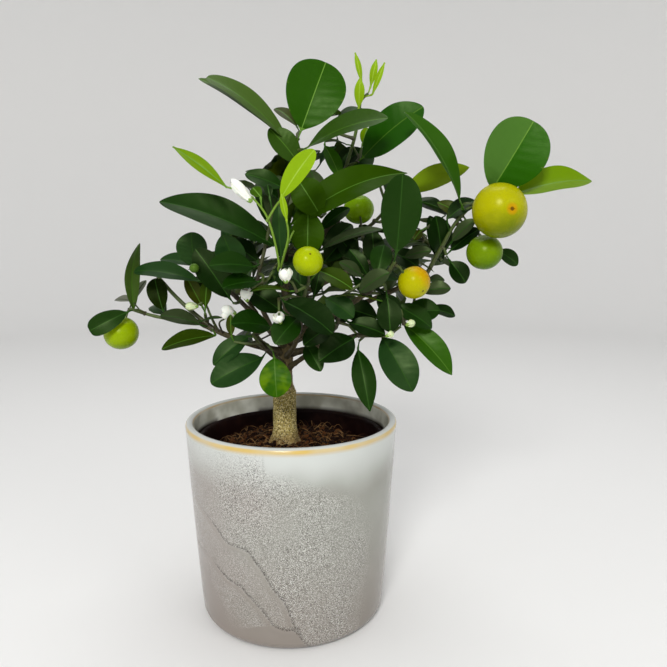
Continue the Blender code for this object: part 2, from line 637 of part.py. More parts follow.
def apply_modifiers(item):
    """Replace an object's mesh by what its modifiers make of it, joined at its doubles and in triangles."""
    bpy.context.view_layer.update()
    result = bpy.data.meshes.new_from_object(item.evaluated_get(bpy.context.evaluated_depsgraph_get()))
    item.modifiers.clear()
    item.data = result
    model = bmesh.new()
    model.from_mesh(result)
    bmesh.ops.remove_doubles(model, verts=model.verts, dist=0.002 * MM)
    bmesh.ops.dissolve_degenerate(model, edges=model.edges, dist=0.002 * MM)
    bmesh.ops.triangulate(model, faces=model.faces)
    model.to_mesh(result)
    model.free()


def closed(item):
    """Whether every edge of a mesh is shared by exactly two faces."""
    model = bmesh.new()
    model.from_mesh(item.data)
    whole = len(model.faces) > 0 and all(len(edge.link_faces) == 2 for edge in model.edges)
    model.free()
    return whole


def fuse(name, pieces, colour):
    """Join a mass's pieces into one solid by one union over a collection."""
    for solver in ("EXACT", "MANIFOLD"):
        base = make_object(name, *pieces[0].mesh, colour, 0.4)
        group = bpy.data.collections.new(name + "_pieces")
        bpy.context.scene.collection.children.link(group)
        for piece in pieces[1:]:
            part = make_object("part", *piece.mesh, colour, 0.4)
            bpy.context.scene.collection.objects.unlink(part)
            group.objects.link(part)
        join = base.modifiers.new("union", "BOOLEAN")
        join.operation = "UNION"
        join.operand_type = "COLLECTION"
        join.collection = group
        join.solver = solver
        apply_modifiers(base)
        for part in list(group.objects):
            bpy.data.objects.remove(part)
        bpy.data.collections.remove(group)
        if closed(base):
            return base
        if solver == "EXACT":
            bpy.data.objects.remove(base)
    return base


def make_trunk():
    """The trunk, from its flat cut on the soil to the fork that the leader stands on."""
    return make_object("trunk", *trunk_mesh(), (0.36, 0.30, 0.14), 0.8)


def make_limbs():
    """The leader and the boughs, each cut to the saddle of its carrier."""
    by_name = {limb.name: limb for limb in LIMBS}
    for limb in LIMBS:
        item = make_object(limb.name, *limb_mesh(limb), (0.16, 0.13, 0.06), 0.8)
        if limb.carrier == "trunk":
            cut_clear(item, trunk_mesh(GAP))
        elif limb.carrier:
            cut_clear(item, limb_mesh(by_name[limb.carrier], GAP))


def make_masses():
    """The masses of foliage: first all that is placed by hand, and then the seeded twigs and leaves."""
    limbs = [Shape(trunk_mesh())] + [Shape(limb_mesh(limb)) for limb in LIMBS]
    kept = {mass.name: [] for mass in MASSES}
    shoots = {}
    for mass in MASSES:
        shoots[mass.name], pieces = named_pieces(mass)
        kept[mass.name].append(pieces[0])
        admit(mass.name, pieces[1:], kept, limbs)
    for mass in MASSES:
        admit(mass.name, seeded_pieces(mass, shoots[mass.name]), kept, limbs)
    for number, mass in enumerate(MASSES):
        shade = 0.8 + 0.4 * (number % 3) / 2
        fuse(mass.name, without_bare_twigs(kept[mass.name]), (0.03 * shade, 0.12 * shade, 0.02 * shade))


def main():
    for item in list(bpy.data.objects):
        bpy.data.objects.remove(item)
    make_pot()
    make_grower_pot()
    make_soil()
    make_trunk()
    make_limbs()
    make_masses()


main()
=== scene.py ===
"""Calamondin orange tree in a glazed pot: the pot and its peat, then wood, leaves, fruit and blossom.

The origin is the middle of the pot's underside, +Z is up and the side that faces the viewer is -Y.
Sizes and places are written in millimetres and become metres when a mesh is made.
"""
import itertools
import math
import random
from typing import NamedTuple

import bpy
import numpy as np
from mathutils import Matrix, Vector


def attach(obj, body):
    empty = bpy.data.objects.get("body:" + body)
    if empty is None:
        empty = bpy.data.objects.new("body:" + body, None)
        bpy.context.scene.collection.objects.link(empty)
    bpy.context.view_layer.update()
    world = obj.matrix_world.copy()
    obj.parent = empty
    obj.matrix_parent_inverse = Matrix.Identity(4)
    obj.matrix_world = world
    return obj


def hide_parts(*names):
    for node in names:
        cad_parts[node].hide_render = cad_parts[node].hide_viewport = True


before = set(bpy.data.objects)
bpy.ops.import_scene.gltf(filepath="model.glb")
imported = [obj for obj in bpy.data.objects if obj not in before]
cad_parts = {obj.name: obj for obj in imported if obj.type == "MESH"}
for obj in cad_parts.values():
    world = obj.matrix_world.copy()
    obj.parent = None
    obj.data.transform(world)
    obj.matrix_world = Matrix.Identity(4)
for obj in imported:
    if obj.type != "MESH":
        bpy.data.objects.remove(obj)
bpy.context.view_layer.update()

# Glazed pot
# A stoneware cover pot, thrown and turned, with a rounded foot and lip. Its pale glossy glaze breaks to gold
# and brown on the lip, is finely speckled where it lies thin, and ran into two long creases on one side.
MM = 0.001
POT_TALL = 142.0
POT_RIM = 75.0
POT_FOOT = 57.0
POT_WALL = 5.6
POT_FLOOR = 8.0
POT_AROUND = 320
LIP = POT_WALL / 2
FOOT_ROUND = 9.0
BOTTOM_ROUND = 7.0
WALL_ROWS = 120
BARE_FOOT = 0.8
# Radii and heights that the outer and the inner side of the wall run through, between foot and lip
OUTER_THROUGH = ((67.9, 31), (70.2, 64), (72.6, 100))
INNER_THROUGH = ((66.2, 80), (62.4, 24), (62.0, 15))
# Heights where a band of colour on the lip starts, is full, begins to fade and is gone
GOLD_BAND = (137.4, 138.6, 140.6, 141.4)
INNER_BAND = (139.0, 140.0, 140.8, 141.4)
UNDER_BAND = (136.9, 137.4, 137.6, 138.2)
# Compass angle and height of the points that each crease in the glaze runs through
UPPER_CREASE = ((-149, 94), (-134, 85), (-129, 80), (-124, 74), (-115, 73), (-110, 71), (-106, 64),
                (-101, 56), (-98, 48), (-92, 39), (-89, 31), (-87, 22), (-83, 14))
LOWER_CREASE = ((-156, 60), (-139, 58), (-132, 53), (-124, 47), (-116, 45), (-110, 38), (-105, 32),
                (-101, 26), (-98, 20), (-91, 17), (-86, 17), (-82, 10), (-76, 0))
SEAM = ((-100.5, 138), (-100.4, 126), (-99, 118), (-96, 111), (-92, 104))
# Compass angle and height of the lower edge of the glaze inside
LINING_EDGE = ((-180, 129), (13, 128), (37, 131), (55, 132), (74, 130), (107, 130), (115, 129), (123, 124),
               (131, 121.6), (140, 122.4), (148, 127.5), (153, 130.5), (180, 129))
# The speckled part: its two sides as heights and angles, then its top as angles and heights. The smooth lobe
# under it is given by its upper edge, also as angles and heights
SPECKLED_LEFT = ((0, -114), (20, -128), (50, -148), (80, -162), (95, -168), (140, -172))
SPECKLED_RIGHT = ((0, -52), (30, -47), (70, -43), (115, -56), (140, -86))
SPECKLED_TOP = ((-150, 138), (-103, 137), (-98, 129), (-85, 126), (-70, 116), (-45, 100))
SMOOTH_LOBE = ((-140, 8), (-118, 12), (-108, 16), (-98, 20), (-92, 18), (-84, 14), (-79, 3))


def paint(red, green, blue, strength=1.0):
    """A colour for a shader from display values of 0 to 255: each as a share of 255, to the power of 2.2."""
    return tuple(strength * (value / 255) ** 2.2 for value in (red, green, blue))


class Reading:
    """One output of a node. Arithmetic on it, from either side, adds Math nodes to its finish."""

    def __init__(self, finish, socket):
        self.finish = finish
        self.socket = socket

    def maths(self, operation, first, second):
        return self.finish.node("ShaderNodeMath", {"operation": operation}, (first, second))

    def __add__(self, other):
        return self.maths("ADD", self, other)

    def __sub__(self, other):
        return self.maths("SUBTRACT", self, other)

    def __rsub__(self, other):
        return self.maths("SUBTRACT", other, self)

    def __mul__(self, other):
        return self.maths("MULTIPLY", self, other)

    def __abs__(self):
        return self.finish.node("ShaderNodeMath", {"operation": "ABSOLUTE"}, (self,))

    __radd__ = __add__
    __rmul__ = __mul__


class Finish:
    """A material and its nodes. What is the same all over is set on the shader's own sockets."""

    def __init__(self, name, colour, roughness, steady=None):
        self.material = bpy.data.materials.new(name)
        self.material.use_nodes = True
        self.tree = self.material.node_tree
        self.shader = self.tree.nodes["Principled BSDF"]
        self.shader.inputs["Base Color"].default_value = (*colour, 1.0)
        self.shader.inputs["Roughness"].default_value = roughness
        for socket, value in (steady or {}).items():
            self.shader.inputs[socket].default_value = value

    def node(self, kind, settings, sockets, output=0):
        """A new node: its settings first, then its sockets' values or links. Gives one of its outputs."""
        node = self.tree.nodes.new(kind)
        for name, value in settings.items():
            setattr(node, name, value)
        for key, value in (sockets.items() if isinstance(sockets, dict) else enumerate(sockets)):
            if isinstance(value, Reading):
                self.tree.links.new(value.socket, node.inputs[key])
            else:
                node.inputs[key].default_value = value
        return Reading(self, node.outputs[output])

    def place(self):
        """Where a point lies in the piece's own coordinates, in metres."""
        return self.node("ShaderNodeTexCoord", {}, {}, "Object")

    def height(self):
        """How high a point lies, in metres."""
        return self.node("ShaderNodeSeparateXYZ", {}, {"Vector": self.place()}, "Z")

    def scaled(self, size, stretch):
        """A point's place with `size` millimetres, drawn out by the stretch, as one."""
        scale = tuple(1.0 / (size * MM * part) for part in stretch)
        return self.node("ShaderNodeMapping", {}, {"Vector": self.place(), "Scale": scale})

    def mottled(self, size, detail=2.0, stretch=(1.0, 1.0, 1.0)):
        """Smooth noise from 0 to 1 over the piece, with blotches about `size` across."""
        sockets = {"Vector": self.scaled(size, stretch), "Scale": 1.0, "Detail": detail}
        return self.node("ShaderNodeTexNoise", {}, sockets)

    def cells(self, size, stretch=(1.0, 1.0, 1.0)):
        """Distance to the nearest of many scattered spots about `size` apart, as a share of that size."""
        sockets = {"Vector": self.scaled(size, stretch), "Scale": 1.0}
        return self.node("ShaderNodeTexVoronoi", {}, sockets, "Distance")

    def mark(self, name):
        """A value that the mesh holds at its points under this name."""
        return self.node("ShaderNodeAttribute", {"attribute_name": name}, {}, "Fac")

    def rise(self, value, low, high):
        """0 below low and 1 above high, eased between them; it falls where low is the larger."""
        sockets = {"Value": value, "From Min": low, "From Max": high}
        return self.node("ShaderNodeMapRange", {"interpolation_type": "SMOOTHSTEP"}, sockets)

    def blend(self, amount, first, second):
        """The first colour where the amount is 0 and the second where it is 1."""
        first, second = (part if isinstance(part, Reading) else (*part, 1.0) for part in (first, second))
        return self.node("ShaderNodeMix", {"data_type": "RGBA"}, {0: amount, 6: first, 7: second}, 2)

    def relief(self, height, tall, strength=1.0):
        """A bump of this height, `tall` millimetres high where the height is 1."""
        sockets = {"Height": height, "Distance": tall * MM, "Strength": strength}
        self.feed("Normal", self.node("ShaderNodeBump", {}, sockets))

    def feed(self, socket, reading):
        self.tree.links.new(reading.socket, self.shader.inputs[socket])


class Shell:
    """Closed skins over stacks of rings, with the number of the finish on each face.

    A ring's corners run counterclockwise round the way that its stack runs. Each corner joins to the next
    one and to the ring after as a quad, and a fan to a pole closes each end: by default the ring's middle.
    The finishes have one row for the first fan, one for each row of quads and one for the last fan.
    The marks are values at the corners, which a finish can read by name; a pole takes its ring's mean.
    """

    def __init__(self, rings, poles=None, finishes=0, marks=None):
        stacks, levels, corners = rings.shape[:3]
        if poles is None:
            poles = rings[:, [0, -1]].mean(axis=2)
        index = np.arange(stacks * levels * corners).reshape(stacks, levels, corners)
        ahead = np.roll(index, -1, axis=2)
        pole = index.size + np.arange(stacks * 2).reshape(stacks, 2, 1)
        pole = np.broadcast_to(pole, (stacks, 2, corners))
        first = np.stack([ahead[:, 0], index[:, 0], pole[:, 0]], axis=-1)
        last = np.stack([index[:, -1], ahead[:, -1], pole[:, 1]], axis=-1)
        quads = np.stack([index[:, :-1], ahead[:, :-1], ahead[:, 1:], index[:, 1:]], axis=-1)
        given = np.broadcast_to(finishes, (stacks, levels + 1, corners))
        self.points = np.concatenate([rings.reshape(-1, 3), poles.reshape(-1, 3)])
        self.quads = quads.reshape(-1, 4)
        self.fans = np.stack([first, last], axis=1).reshape(-1, 3)
        self.quad_finishes = given[:, 1:-1].ravel()
        self.fan_finishes = given[:, [0, -1]].ravel()
        self.marks = {name: np.concatenate([values.ravel(), values[:, [0, -1]].mean(axis=2).ravel()])
                      for name, values in (marks or {}).items()}


def make_piece(name, shells, finishes, nodes=(), sharp=50.0):
    """One object at the origin from the shells, with its finishes, its marks and its place in the frame."""
    start = np.cumsum([0] + [len(shell.points) for shell in shells])
    points = np.concatenate([shell.points for shell in shells]) * MM
    quads = np.concatenate([shell.quads + first for shell, first in zip(shells, start)])
    fans = np.concatenate([shell.fans + first for shell, first in zip(shells, start)])
    given = [shell.quad_finishes for shell in shells] + [shell.fan_finishes for shell in shells]
    mesh = bpy.data.meshes.new(name)
    mesh.vertices.add(len(points))
    mesh.vertices.foreach_set("co", points.ravel())
    mesh.loops.add(quads.size + fans.size)
    mesh.loops.foreach_set("vertex_index", np.concatenate([quads.ravel(), fans.ravel()]))
    mesh.polygons.add(len(quads) + len(fans))
    begin = np.concatenate([np.arange(len(quads)) * 4, quads.size + np.arange(len(fans)) * 3])
    mesh.polygons.foreach_set("loop_start", begin)
    mesh.polygons.foreach_set("material_index", np.concatenate(given))
    mesh.update(calc_edges=True)
    mesh.validate()
    mesh.shade_smooth()
    mesh.set_sharp_from_angle(angle=math.radians(sharp))
    for mark in shells[0].marks:
        values = np.concatenate([shell.marks[mark] for shell in shells])
        mesh.attributes.new(mark, "FLOAT", "POINT").data.foreach_set("value", values.astype(np.float32))
    for finish in finishes:
        mesh.materials.append(finish.material)
    item = bpy.data.objects.new(name, mesh)
    bpy.context.scene.collection.objects.link(item)
    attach(item, "root")
    if nodes:
        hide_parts(*nodes)


def curve_through(route, steps):
    """Evenly stepped points on the Catmull-Rom curve that passes through each point of the route."""
    points = np.asarray(route, float)
    ends = np.vstack([2 * points[0] - points[1], points, 2 * points[-1] - points[-2]])
    place = np.linspace(0, len(points) - 1, steps + 1)
    span = np.minimum(place.astype(int), len(points) - 2)
    t = (place - span)[:, None]
    a, b, c, d = (ends[span + k] for k in range(4))
    return 0.5 * (2 * b + (c - a) * t + (2 * a - 5 * b + 4 * c - d) * t ** 2
                  + (3 * b - a - 3 * c + d) * t ** 3)


def round_stretch(middle, radius, start, end, steps):
    """Points on a round stretch of a profile: the middle plus the radius at even angles, in degrees."""
    turn = np.radians(np.linspace(start, end, steps + 1))
    return np.column_stack([middle[0] + radius * np.cos(turn), middle[1] + radius * np.sin(turn)])


def turned(profile, around):
    """The rings of a turned piece: each row of the profile, a radius and a height, once round the axis."""
    turn = np.linspace(0, math.tau, around, endpoint=False)
    radius, height = profile[:, :1], profile[:, 1:]
    return np.stack([radius * np.cos(turn), radius * np.sin(turn), height + 0 * turn], axis=-1)[None]


def mottle(points, size, seed):
    """Smooth noise from -1 to 1 that changes over about `size`.

    Seeded numbers stand at the corners of cubes of that size, and eased weights mix them across each cube.
    """
    table = np.random.default_rng(seed).uniform(-1, 1, 4096)
    cells = np.asarray(points, float) / size
    base = np.floor(cells).astype(np.int64)
    ease = cells - base
    ease = ease * ease * (3 - 2 * ease)
    total = 0.0
    for corner in itertools.product((0, 1), repeat=3):
        spot = base + corner
        entry = (spot[..., 0] * 73856093) ^ (spot[..., 1] * 19349663) ^ (spot[..., 2] * 83492791)
        weight = np.prod(np.where(corner, ease, 1 - ease), axis=-1)
        total = total + weight * table[entry & 4095]
    return total


def eased(value, low, high):
    """0 below low and 1 above high, eased between them."""
    share = np.clip((value - low) / (high - low), 0, 1)
    return share * share * (3 - 2 * share)


def band(value, start, full, fading, gone):
    """1 from full to fading, eased down to 0 at start and at gone."""
    return eased(value, start, full) * (1 - eased(value, fading, gone))


def distance_to_line(across, height, line):
    """The least distance from each spot on the unrolled wall to a line through angles and heights.

    It is negative to the right of the nearest leg, by the sign of the cross product with that leg.
    """
    angles, heights = np.array(line, float).T
    spots = np.column_stack([np.radians(angles) * POT_RIM, heights])
    least = np.full(across.shape, np.inf)
    for (x0, z0), (x1, z1) in zip(spots, spots[1:]):
        dx, dz = x1 - x0, z1 - z0
        share = np.clip(((across - x0) * dx + (height - z0) * dz) / (dx * dx + dz * dz), 0, 1)
        gap = np.hypot(across - x0 - share * dx, height - z0 - share * dz)
        gap = np.where(dx * (height - z0) > dz * (across - x0), gap, -gap)
        least = np.where(np.abs(gap) < np.abs(least), gap, least)
    return least


def along_line(value, line):
    """The second number of a line's points at a value of their first, evenly from point to point."""
    return np.interp(value, *np.array(line, float).T)


pot_foot = round_stretch((POT_FOOT, FOOT_ROUND), FOOT_ROUND, -90, -15, 12)
pot_wall = curve_through((pot_foot[-1], *OUTER_THROUGH, (POT_RIM, POT_TALL - LIP)), WALL_ROWS)
pot_lip = round_stretch((POT_RIM - LIP, POT_TALL - LIP), LIP, 0, 180, 16)
pot_inside = curve_through((pot_lip[-1], *INNER_THROUGH), 50)
pot_bottom = round_stretch((INNER_THROUGH[-1][0] - BOTTOM_ROUND, POT_FLOOR + BOTTOM_ROUND),
                           BOTTOM_ROUND, 0, -90, 8)
pot_profile = np.vstack([[(14, 0), (40, 0), (54, 0)], pot_foot, pot_wall[1:], pot_lip[1:], pot_inside[1:],
                         pot_bottom[1:], [(40, POT_FLOOR), (12, POT_FLOOR)]])
pot_rings = turned(pot_profile, POT_AROUND)
outer_rows = 3 + len(pot_foot) + WALL_ROWS
pot_angle = np.degrees(np.arctan2(pot_rings[..., 1], pot_rings[..., 0]))
pot_height = pot_rings[..., 2]
pot_across = np.radians(pot_angle) * POT_RIM
outside = (np.arange(len(pot_profile)) < outer_rows)[None, :, None]
inner_side = np.arange(len(pot_profile)) >= outer_rows + 14

drift = mottle(pot_rings, 26, 1)
ragged = 5 * drift + 3 * mottle(pot_rings, 8, 3)
upper_gap = distance_to_line(pot_across, pot_height, UPPER_CREASE)
lower_gap = distance_to_line(pot_across, pot_height, LOWER_CREASE)
seam_gap = distance_to_line(pot_across, pot_height, SEAM)
crease = np.exp(-(upper_gap / 2.2) ** 2) + np.exp(-(lower_gap / 2.2) ** 2)
crease = crease * (0.4 + 0.6 * eased(pot_angle, -138, -116)) + 0.35 * np.exp(-(seam_gap / 2.0) ** 2)
crease = crease * outside * (0.8 + 0.4 * mottle(pot_rings, 9, 2))
run_gap = np.where(np.abs(upper_gap) < np.abs(lower_gap), upper_gap, lower_gap)
pooled = eased(-run_gap, 0.3, 1.3) * eased(-run_gap, 6.0, 2.5) * outside
run_gap = np.clip(np.where(np.abs(run_gap) < np.abs(seam_gap), run_gap, seam_gap), -6, 6)
speckled = eased(pot_angle - along_line(pot_height, SPECKLED_LEFT) + ragged, -7, 9)
speckled = speckled * (0.5 + 0.5 * eased(pot_angle + ragged, -142, -116))
speckled = speckled * eased(along_line(pot_height, SPECKLED_RIGHT) - pot_angle + ragged, -9, 12)
speckled = speckled * eased(along_line(pot_angle, SPECKLED_TOP) - pot_height + 0.6 * ragged, -5, 9)
speckled = speckled * eased(pot_height - along_line(pot_angle, SMOOTH_LOBE) + 0.2 * ragged, -0.5, 2.0)
behind = eased(np.abs((pot_angle - 95 + 2 * ragged) % 360 - 180), 110, 135)
behind = behind * eased(pot_height + 3 * ragged, 122, 96)
speckled = np.maximum(speckled, 0.8 * behind) * (0.85 + 0.3 * mottle(pot_rings, 18, 7))
between = eased(upper_gap, 1.0, -1.0) * eased(pot_angle, -70, -80)
speckled = speckled * (1 - 0.35 * between) * (1 - 0.8 * pooled) * outside
thick = 0.16 * mottle(pot_rings * (1, 1, 2.2), 30, 4) + 0.3 * pooled - 0.12 * speckled
thick = thick * outside * eased(pot_height, 3, 20) * (1 - eased(pot_height, 118, 134))
outward = pot_rings * (1, 1, 0) / np.linalg.norm(pot_rings * (1, 1, 0), axis=-1, keepdims=True)
pot_rings = pot_rings + outward * thick[..., None]

row_height = pot_profile[:, 1]
row_radius = pot_profile[:, 0]
outer_gold = band(row_height, *GOLD_BAND) * (row_radius > POT_RIM - LIP)
inner_edge = band(row_height, *INNER_BAND) * (row_radius < POT_RIM - LIP)
under_edge = band(row_height, *UNDER_BAND) * (row_radius > POT_RIM - LIP)
gold = outer_gold[None, :, None] * (0.8 + 0.35 * mottle(pot_rings, 11, 5))
edge = (inner_edge + 0.3 * under_edge)[None, :, None] * (0.85 + 0.4 * mottle(pot_rings, 9, 8))
drip = along_line(pot_angle, LINING_EDGE) + 1.2 * mottle(pot_rings * (1, 1, 0), 9, 6)
bare = inner_side[None, :, None] * (1 - eased(pot_height - drip, -0.8, 0.8))
bare = np.maximum(bare, outside * (1 - eased(pot_height, BARE_FOOT, BARE_FOOT + 0.5)))
inside_wall = np.broadcast_to(inner_side[None, :, None] * 0.8, pot_height.shape)
warm = eased(-np.sin(np.radians(pot_angle + 90)) + 0.5 * drift, -0.5, 0.9)

glaze = Finish("pale_glaze", paint(172, 170, 164), 0.2, {"Coat Weight": 0.12, "Coat Roughness": 0.1,
                                                         "Specular IOR Level": 0.3})
grain = glaze.mottled(0.5, 1.0)
flecks = glaze.rise(grain, 0.48, 0.4) * glaze.mark("speckled")
pale = glaze.rise(glaze.mottled(0.54, 1.0, (1.0, 1.1, 0.9)), 0.49, 0.58) * glaze.mark("speckled")
line_gap = glaze.mark("run_gap") + 1.6 * glaze.mottled(3.5, 3.0) - 0.8
beside = glaze.rise(glaze.mark("crease"), 0.1, 0.6)
on_line = glaze.rise(abs(line_gap), 0.8, 0.25) * beside * glaze.rise(glaze.mottled(0.8, 1.0), 0.56, 0.44)
near_line = glaze.rise(line_gap, -0.3, 0.3) * glaze.rise(line_gap, 3.5, 0.8) * beside
near_line = near_line * glaze.rise(grain, 0.54, 0.44)
tall = glaze.height()
body = glaze.blend(glaze.mark("warm"), paint(142, 143, 134), paint(148, 140, 134))
body = glaze.blend(0.4 * glaze.mottled(16, 2.0), body, paint(172, 171, 165))
# The glaze is lighter and bluer towards the rim and darker and browner towards the foot: partly its own tone,
# partly painted light high up and painted shade low down
upper = glaze.rise(tall + 0.012 * glaze.mottled(24, 1.0), 0.112, 0.142)
body = glaze.blend(0.85 * upper, body, paint(202, 206, 202))
body = glaze.blend(0.7 * glaze.rise(tall, 0.1, 0.0), body, paint(128, 117, 109))
body = glaze.blend(0.72 * pale, body, paint(218, 217, 211))
body = glaze.blend(0.85 * flecks, body, paint(60, 54, 49))
body = glaze.blend(0.6 * near_line, body, paint(54, 48, 44))
body = glaze.blend(0.6 * on_line, body, paint(52, 46, 42))
body = glaze.blend(glaze.mark("gold"), body, paint(202, 172, 98))
body = glaze.blend(0.85 * glaze.mark("edge"), body, paint(176, 146, 94))
cloudy = glaze.rise(glaze.mottled(15, 2.0), 0.3, 0.7)
lining = glaze.blend(cloudy, paint(178, 176, 156), paint(240, 240, 226))
body = glaze.blend(glaze.mark("inside"), body, lining)
body = glaze.blend(glaze.mark("bare"), body, paint(40, 25, 20))
glaze.feed("Base Color", body)
glaze.feed("Roughness", 0.16 + 0.12 * glaze.mottled(7, 2.0) + 0.22 * flecks + 0.4 * glaze.mark("bare"))
glaze.relief(grain * glaze.mark("speckled") + 0.5 * glaze.mottled(5, 1.0) - 0.6 * on_line, 0.10, 0.5)
pot_marks = {"speckled": speckled, "crease": crease, "run_gap": run_gap, "gold": gold, "edge": edge,
             "bare": bare, "warm": warm, "inside": inside_wall}
pot_shell = Shell(pot_rings, np.array([[(0, 0, 0), (0, 0, POT_FLOOR)]], float), 0, pot_marks)
make_piece("glazed_pot", [pot_shell], [glaze], ["pot"])

# Grower's pot
# The thin blown plastic pot that the tree was grown in, dark maroon, with a rolled bead round its rim.
# It stands loose inside the glazed pot and is full of peat.
LINER_TOP = 130.0
LINER_RIM = 66.5
LINER_FOOT = 54.0
LINER_WALL = 1.4
LINER_BEAD = 1.2
BEAD_ROUND = 1.5
GAP = 0.3
liner_bottom = POT_FLOOR + GAP


def liner_radius(height):
    """The outer radius of the grower's pot, which widens evenly from its foot to its rim."""
    share = (height - liner_bottom) / (LINER_TOP - liner_bottom)
    return LINER_FOOT + (LINER_RIM - LINER_BEAD - LINER_FOOT) * share


liner_rows = np.linspace(liner_bottom + 2.0, LINER_TOP - 3.2, 40)
liner_outside = np.column_stack([liner_radius(liner_rows), liner_rows])
liner_bead = round_stretch((LINER_RIM - BEAD_ROUND, LINER_TOP - BEAD_ROUND), BEAD_ROUND, -90, 150, 14)
liner_inside = np.column_stack([liner_radius(liner_rows) - LINER_WALL, liner_rows])[::-1]
liner_profile = np.vstack([[(20, liner_bottom), (LINER_FOOT - 2, liner_bottom)], liner_outside, liner_bead,
                           liner_inside, [(20, liner_bottom + LINER_WALL)]])
liner_rings = turned(liner_profile, 160)
liner_poles = np.array([[(0, 0, liner_bottom), (0, 0, liner_bottom + LINER_WALL)]])
plastic = Finish("maroon_plastic", paint(26, 11, 10), 0.5, {"Specular IOR Level": 0.12})
dust = plastic.rise(plastic.mottled(6, 4.0), 0.45, 0.75)
plastic.feed("Base Color", plastic.blend(0.5 * dust, paint(26, 10, 9), paint(50, 32, 25)))
plastic.feed("Roughness", 0.5 + 0.3 * dust)
plastic.relief(plastic.mottled(1.2, 2.0, (1.0, 1.0, 4.0)), 0.05)
make_piece("grower_pot_wall", [Shell(liner_rings, liner_poles)], [plastic], ["grower_pot"])

# Peat
# Damp peat with coir and chips of bark, mounded round the trunk and sunk at the edge, where it has shrunk
# from its pot. Loose crumbs lie on it, and pale curled fibres stand out of it.
SOIL_TOP = 124.2
SOIL_EDGE = 112.0
SOIL_RINGS = 74
CRUMBS = 640
CRUMBS_REACH = 59.0
FIBRES = 400
FIBRES_REACH = 60.0
FIBRE_STEPS = 6
FIBRE_HALF = 0.22
soil_bottom = POT_FLOOR + LINER_WALL + 2 * GAP
# The radii and heights that the top of the peat runs through
SOIL_HEIGHTS = ((0, SOIL_TOP), (20, SOIL_TOP), (32, 123.7), (43, 122.3), (50, 119.5), (56, 115),
                (62.5, SOIL_EDGE))


def tube_rings(curves, radii, sides):
    """Rings round the points of many curves at once, each turned least from the one before.

    The side of a ring is the last ring's side less its part along the curve, and its corners go round at
    even angles by the cosine on that side and the sine on the way across.
    """
    way = unit(np.gradient(curves, axis=1))
    side = np.cross(way[:, 0], (0.0, 0.0, 1.0))
    flat = np.linalg.norm(side, axis=-1, keepdims=True) < 0.2
    side = unit(np.where(flat, np.cross(way[:, 0], (0.0, 1.0, 0.0)), side))
    turn = np.linspace(0, math.tau, sides, endpoint=False)[:, None]
    rings = []
    for level in range(curves.shape[1]):
        side = unit(side - way[:, level] * np.sum(side * way[:, level], axis=-1, keepdims=True))
        over = np.cross(way[:, level], side)
        spoke = side[:, None] * np.cos(turn) + over[:, None] * np.sin(turn)
        rings.append(curves[:, level, None] + spoke * radii[:, level, None, None])
    return np.stack(rings, axis=1)


def unit(vectors):
    """The vectors cut to a length of one."""
    return vectors / np.maximum(np.linalg.norm(vectors, axis=-1, keepdims=True), 1e-9)


soil_edge = liner_radius(SOIL_EDGE) - LINER_WALL - GAP - 0.1
soil_foot = liner_radius(soil_bottom) - LINER_WALL - GAP - 0.1
soil_radii = np.linspace(soil_edge, 1.2, SOIL_RINGS)
soil_profile = np.vstack([[(20, soil_bottom), (soil_foot, soil_bottom), (soil_edge, SOIL_EDGE - 6)],
                          np.column_stack([soil_radii, along_line(soil_radii, SOIL_HEIGHTS)])])
soil_rings = turned(soil_profile, 230)
crumbled = 1.3 * mottle(soil_rings, 8, 11) + 0.9 * mottle(soil_rings, 3.6, 12)
crumbled = crumbled + 0.6 * mottle(soil_rings, 1.7, 13)
on_top = (np.arange(len(soil_profile)) > 3)[None, :, None]
soil_rings[..., 2] += np.minimum(crumbled * on_top, 1.6)
soil_rings[..., :2] += 0.5 * (mottle(soil_rings, 2.6, 14) * on_top)[..., None]
peat = Finish("damp_peat", paint(46, 27, 18), 0.9, {"Specular IOR Level": 0.1})
crumb_tone = peat.mottled(1.6, 3.0)
peat_colour = peat.blend(peat.rise(crumb_tone, 0.44, 0.6), paint(16, 9, 4), paint(92, 62, 34))
peat.feed("Base Color", peat_colour)
peat.feed("Roughness", 0.75 + 0.2 * crumb_tone)
peat.relief(peat.mottled(0.9, 4.0), 0.5)
soil_poles = np.array([[(0, 0, soil_bottom), (0, 0, SOIL_TOP)]])
make_piece("peat_surface", [Shell(soil_rings, soil_poles)], [peat], ["soil"], sharp=80.0)

scatter = np.random.default_rng(21)
crumb_radius = CRUMBS_REACH * np.sqrt(scatter.uniform(0.03, 1, CRUMBS))
crumb_turn = scatter.uniform(0, math.tau, CRUMBS)
crumb_size = scatter.uniform(0.7, 2.0, CRUMBS) ** 1.3
crumb_place = np.column_stack([crumb_radius * np.cos(crumb_turn), crumb_radius * np.sin(crumb_turn),
                               along_line(crumb_radius, SOIL_HEIGHTS) + 0.6])
crumb_ball = turned(np.array([(0.62, -0.62), (1.0, 0.0), (0.58, 0.66)]), 6)[0]
crumb_shape = crumb_ball[None] * scatter.uniform(0.65, 1.2, (CRUMBS, 3, 6, 1))
crumb_shape = crumb_shape * scatter.uniform(0.55, 1.35, (CRUMBS, 1, 1, 3))
crumb_rings = crumb_place[:, None, None] + crumb_size[:, None, None, None] * crumb_shape
crumb_poles = crumb_place[:, None] + crumb_size[:, None, None] * np.array([(0, 0, -0.8), (0, 0, 0.85)])
crumb_chance = 0.55 + 0.4 * crumb_radius[:, None, None] / CRUMBS_REACH
crumb_kind = (scatter.uniform(0, 1, (CRUMBS, 1, 1)) > crumb_chance).astype(int)

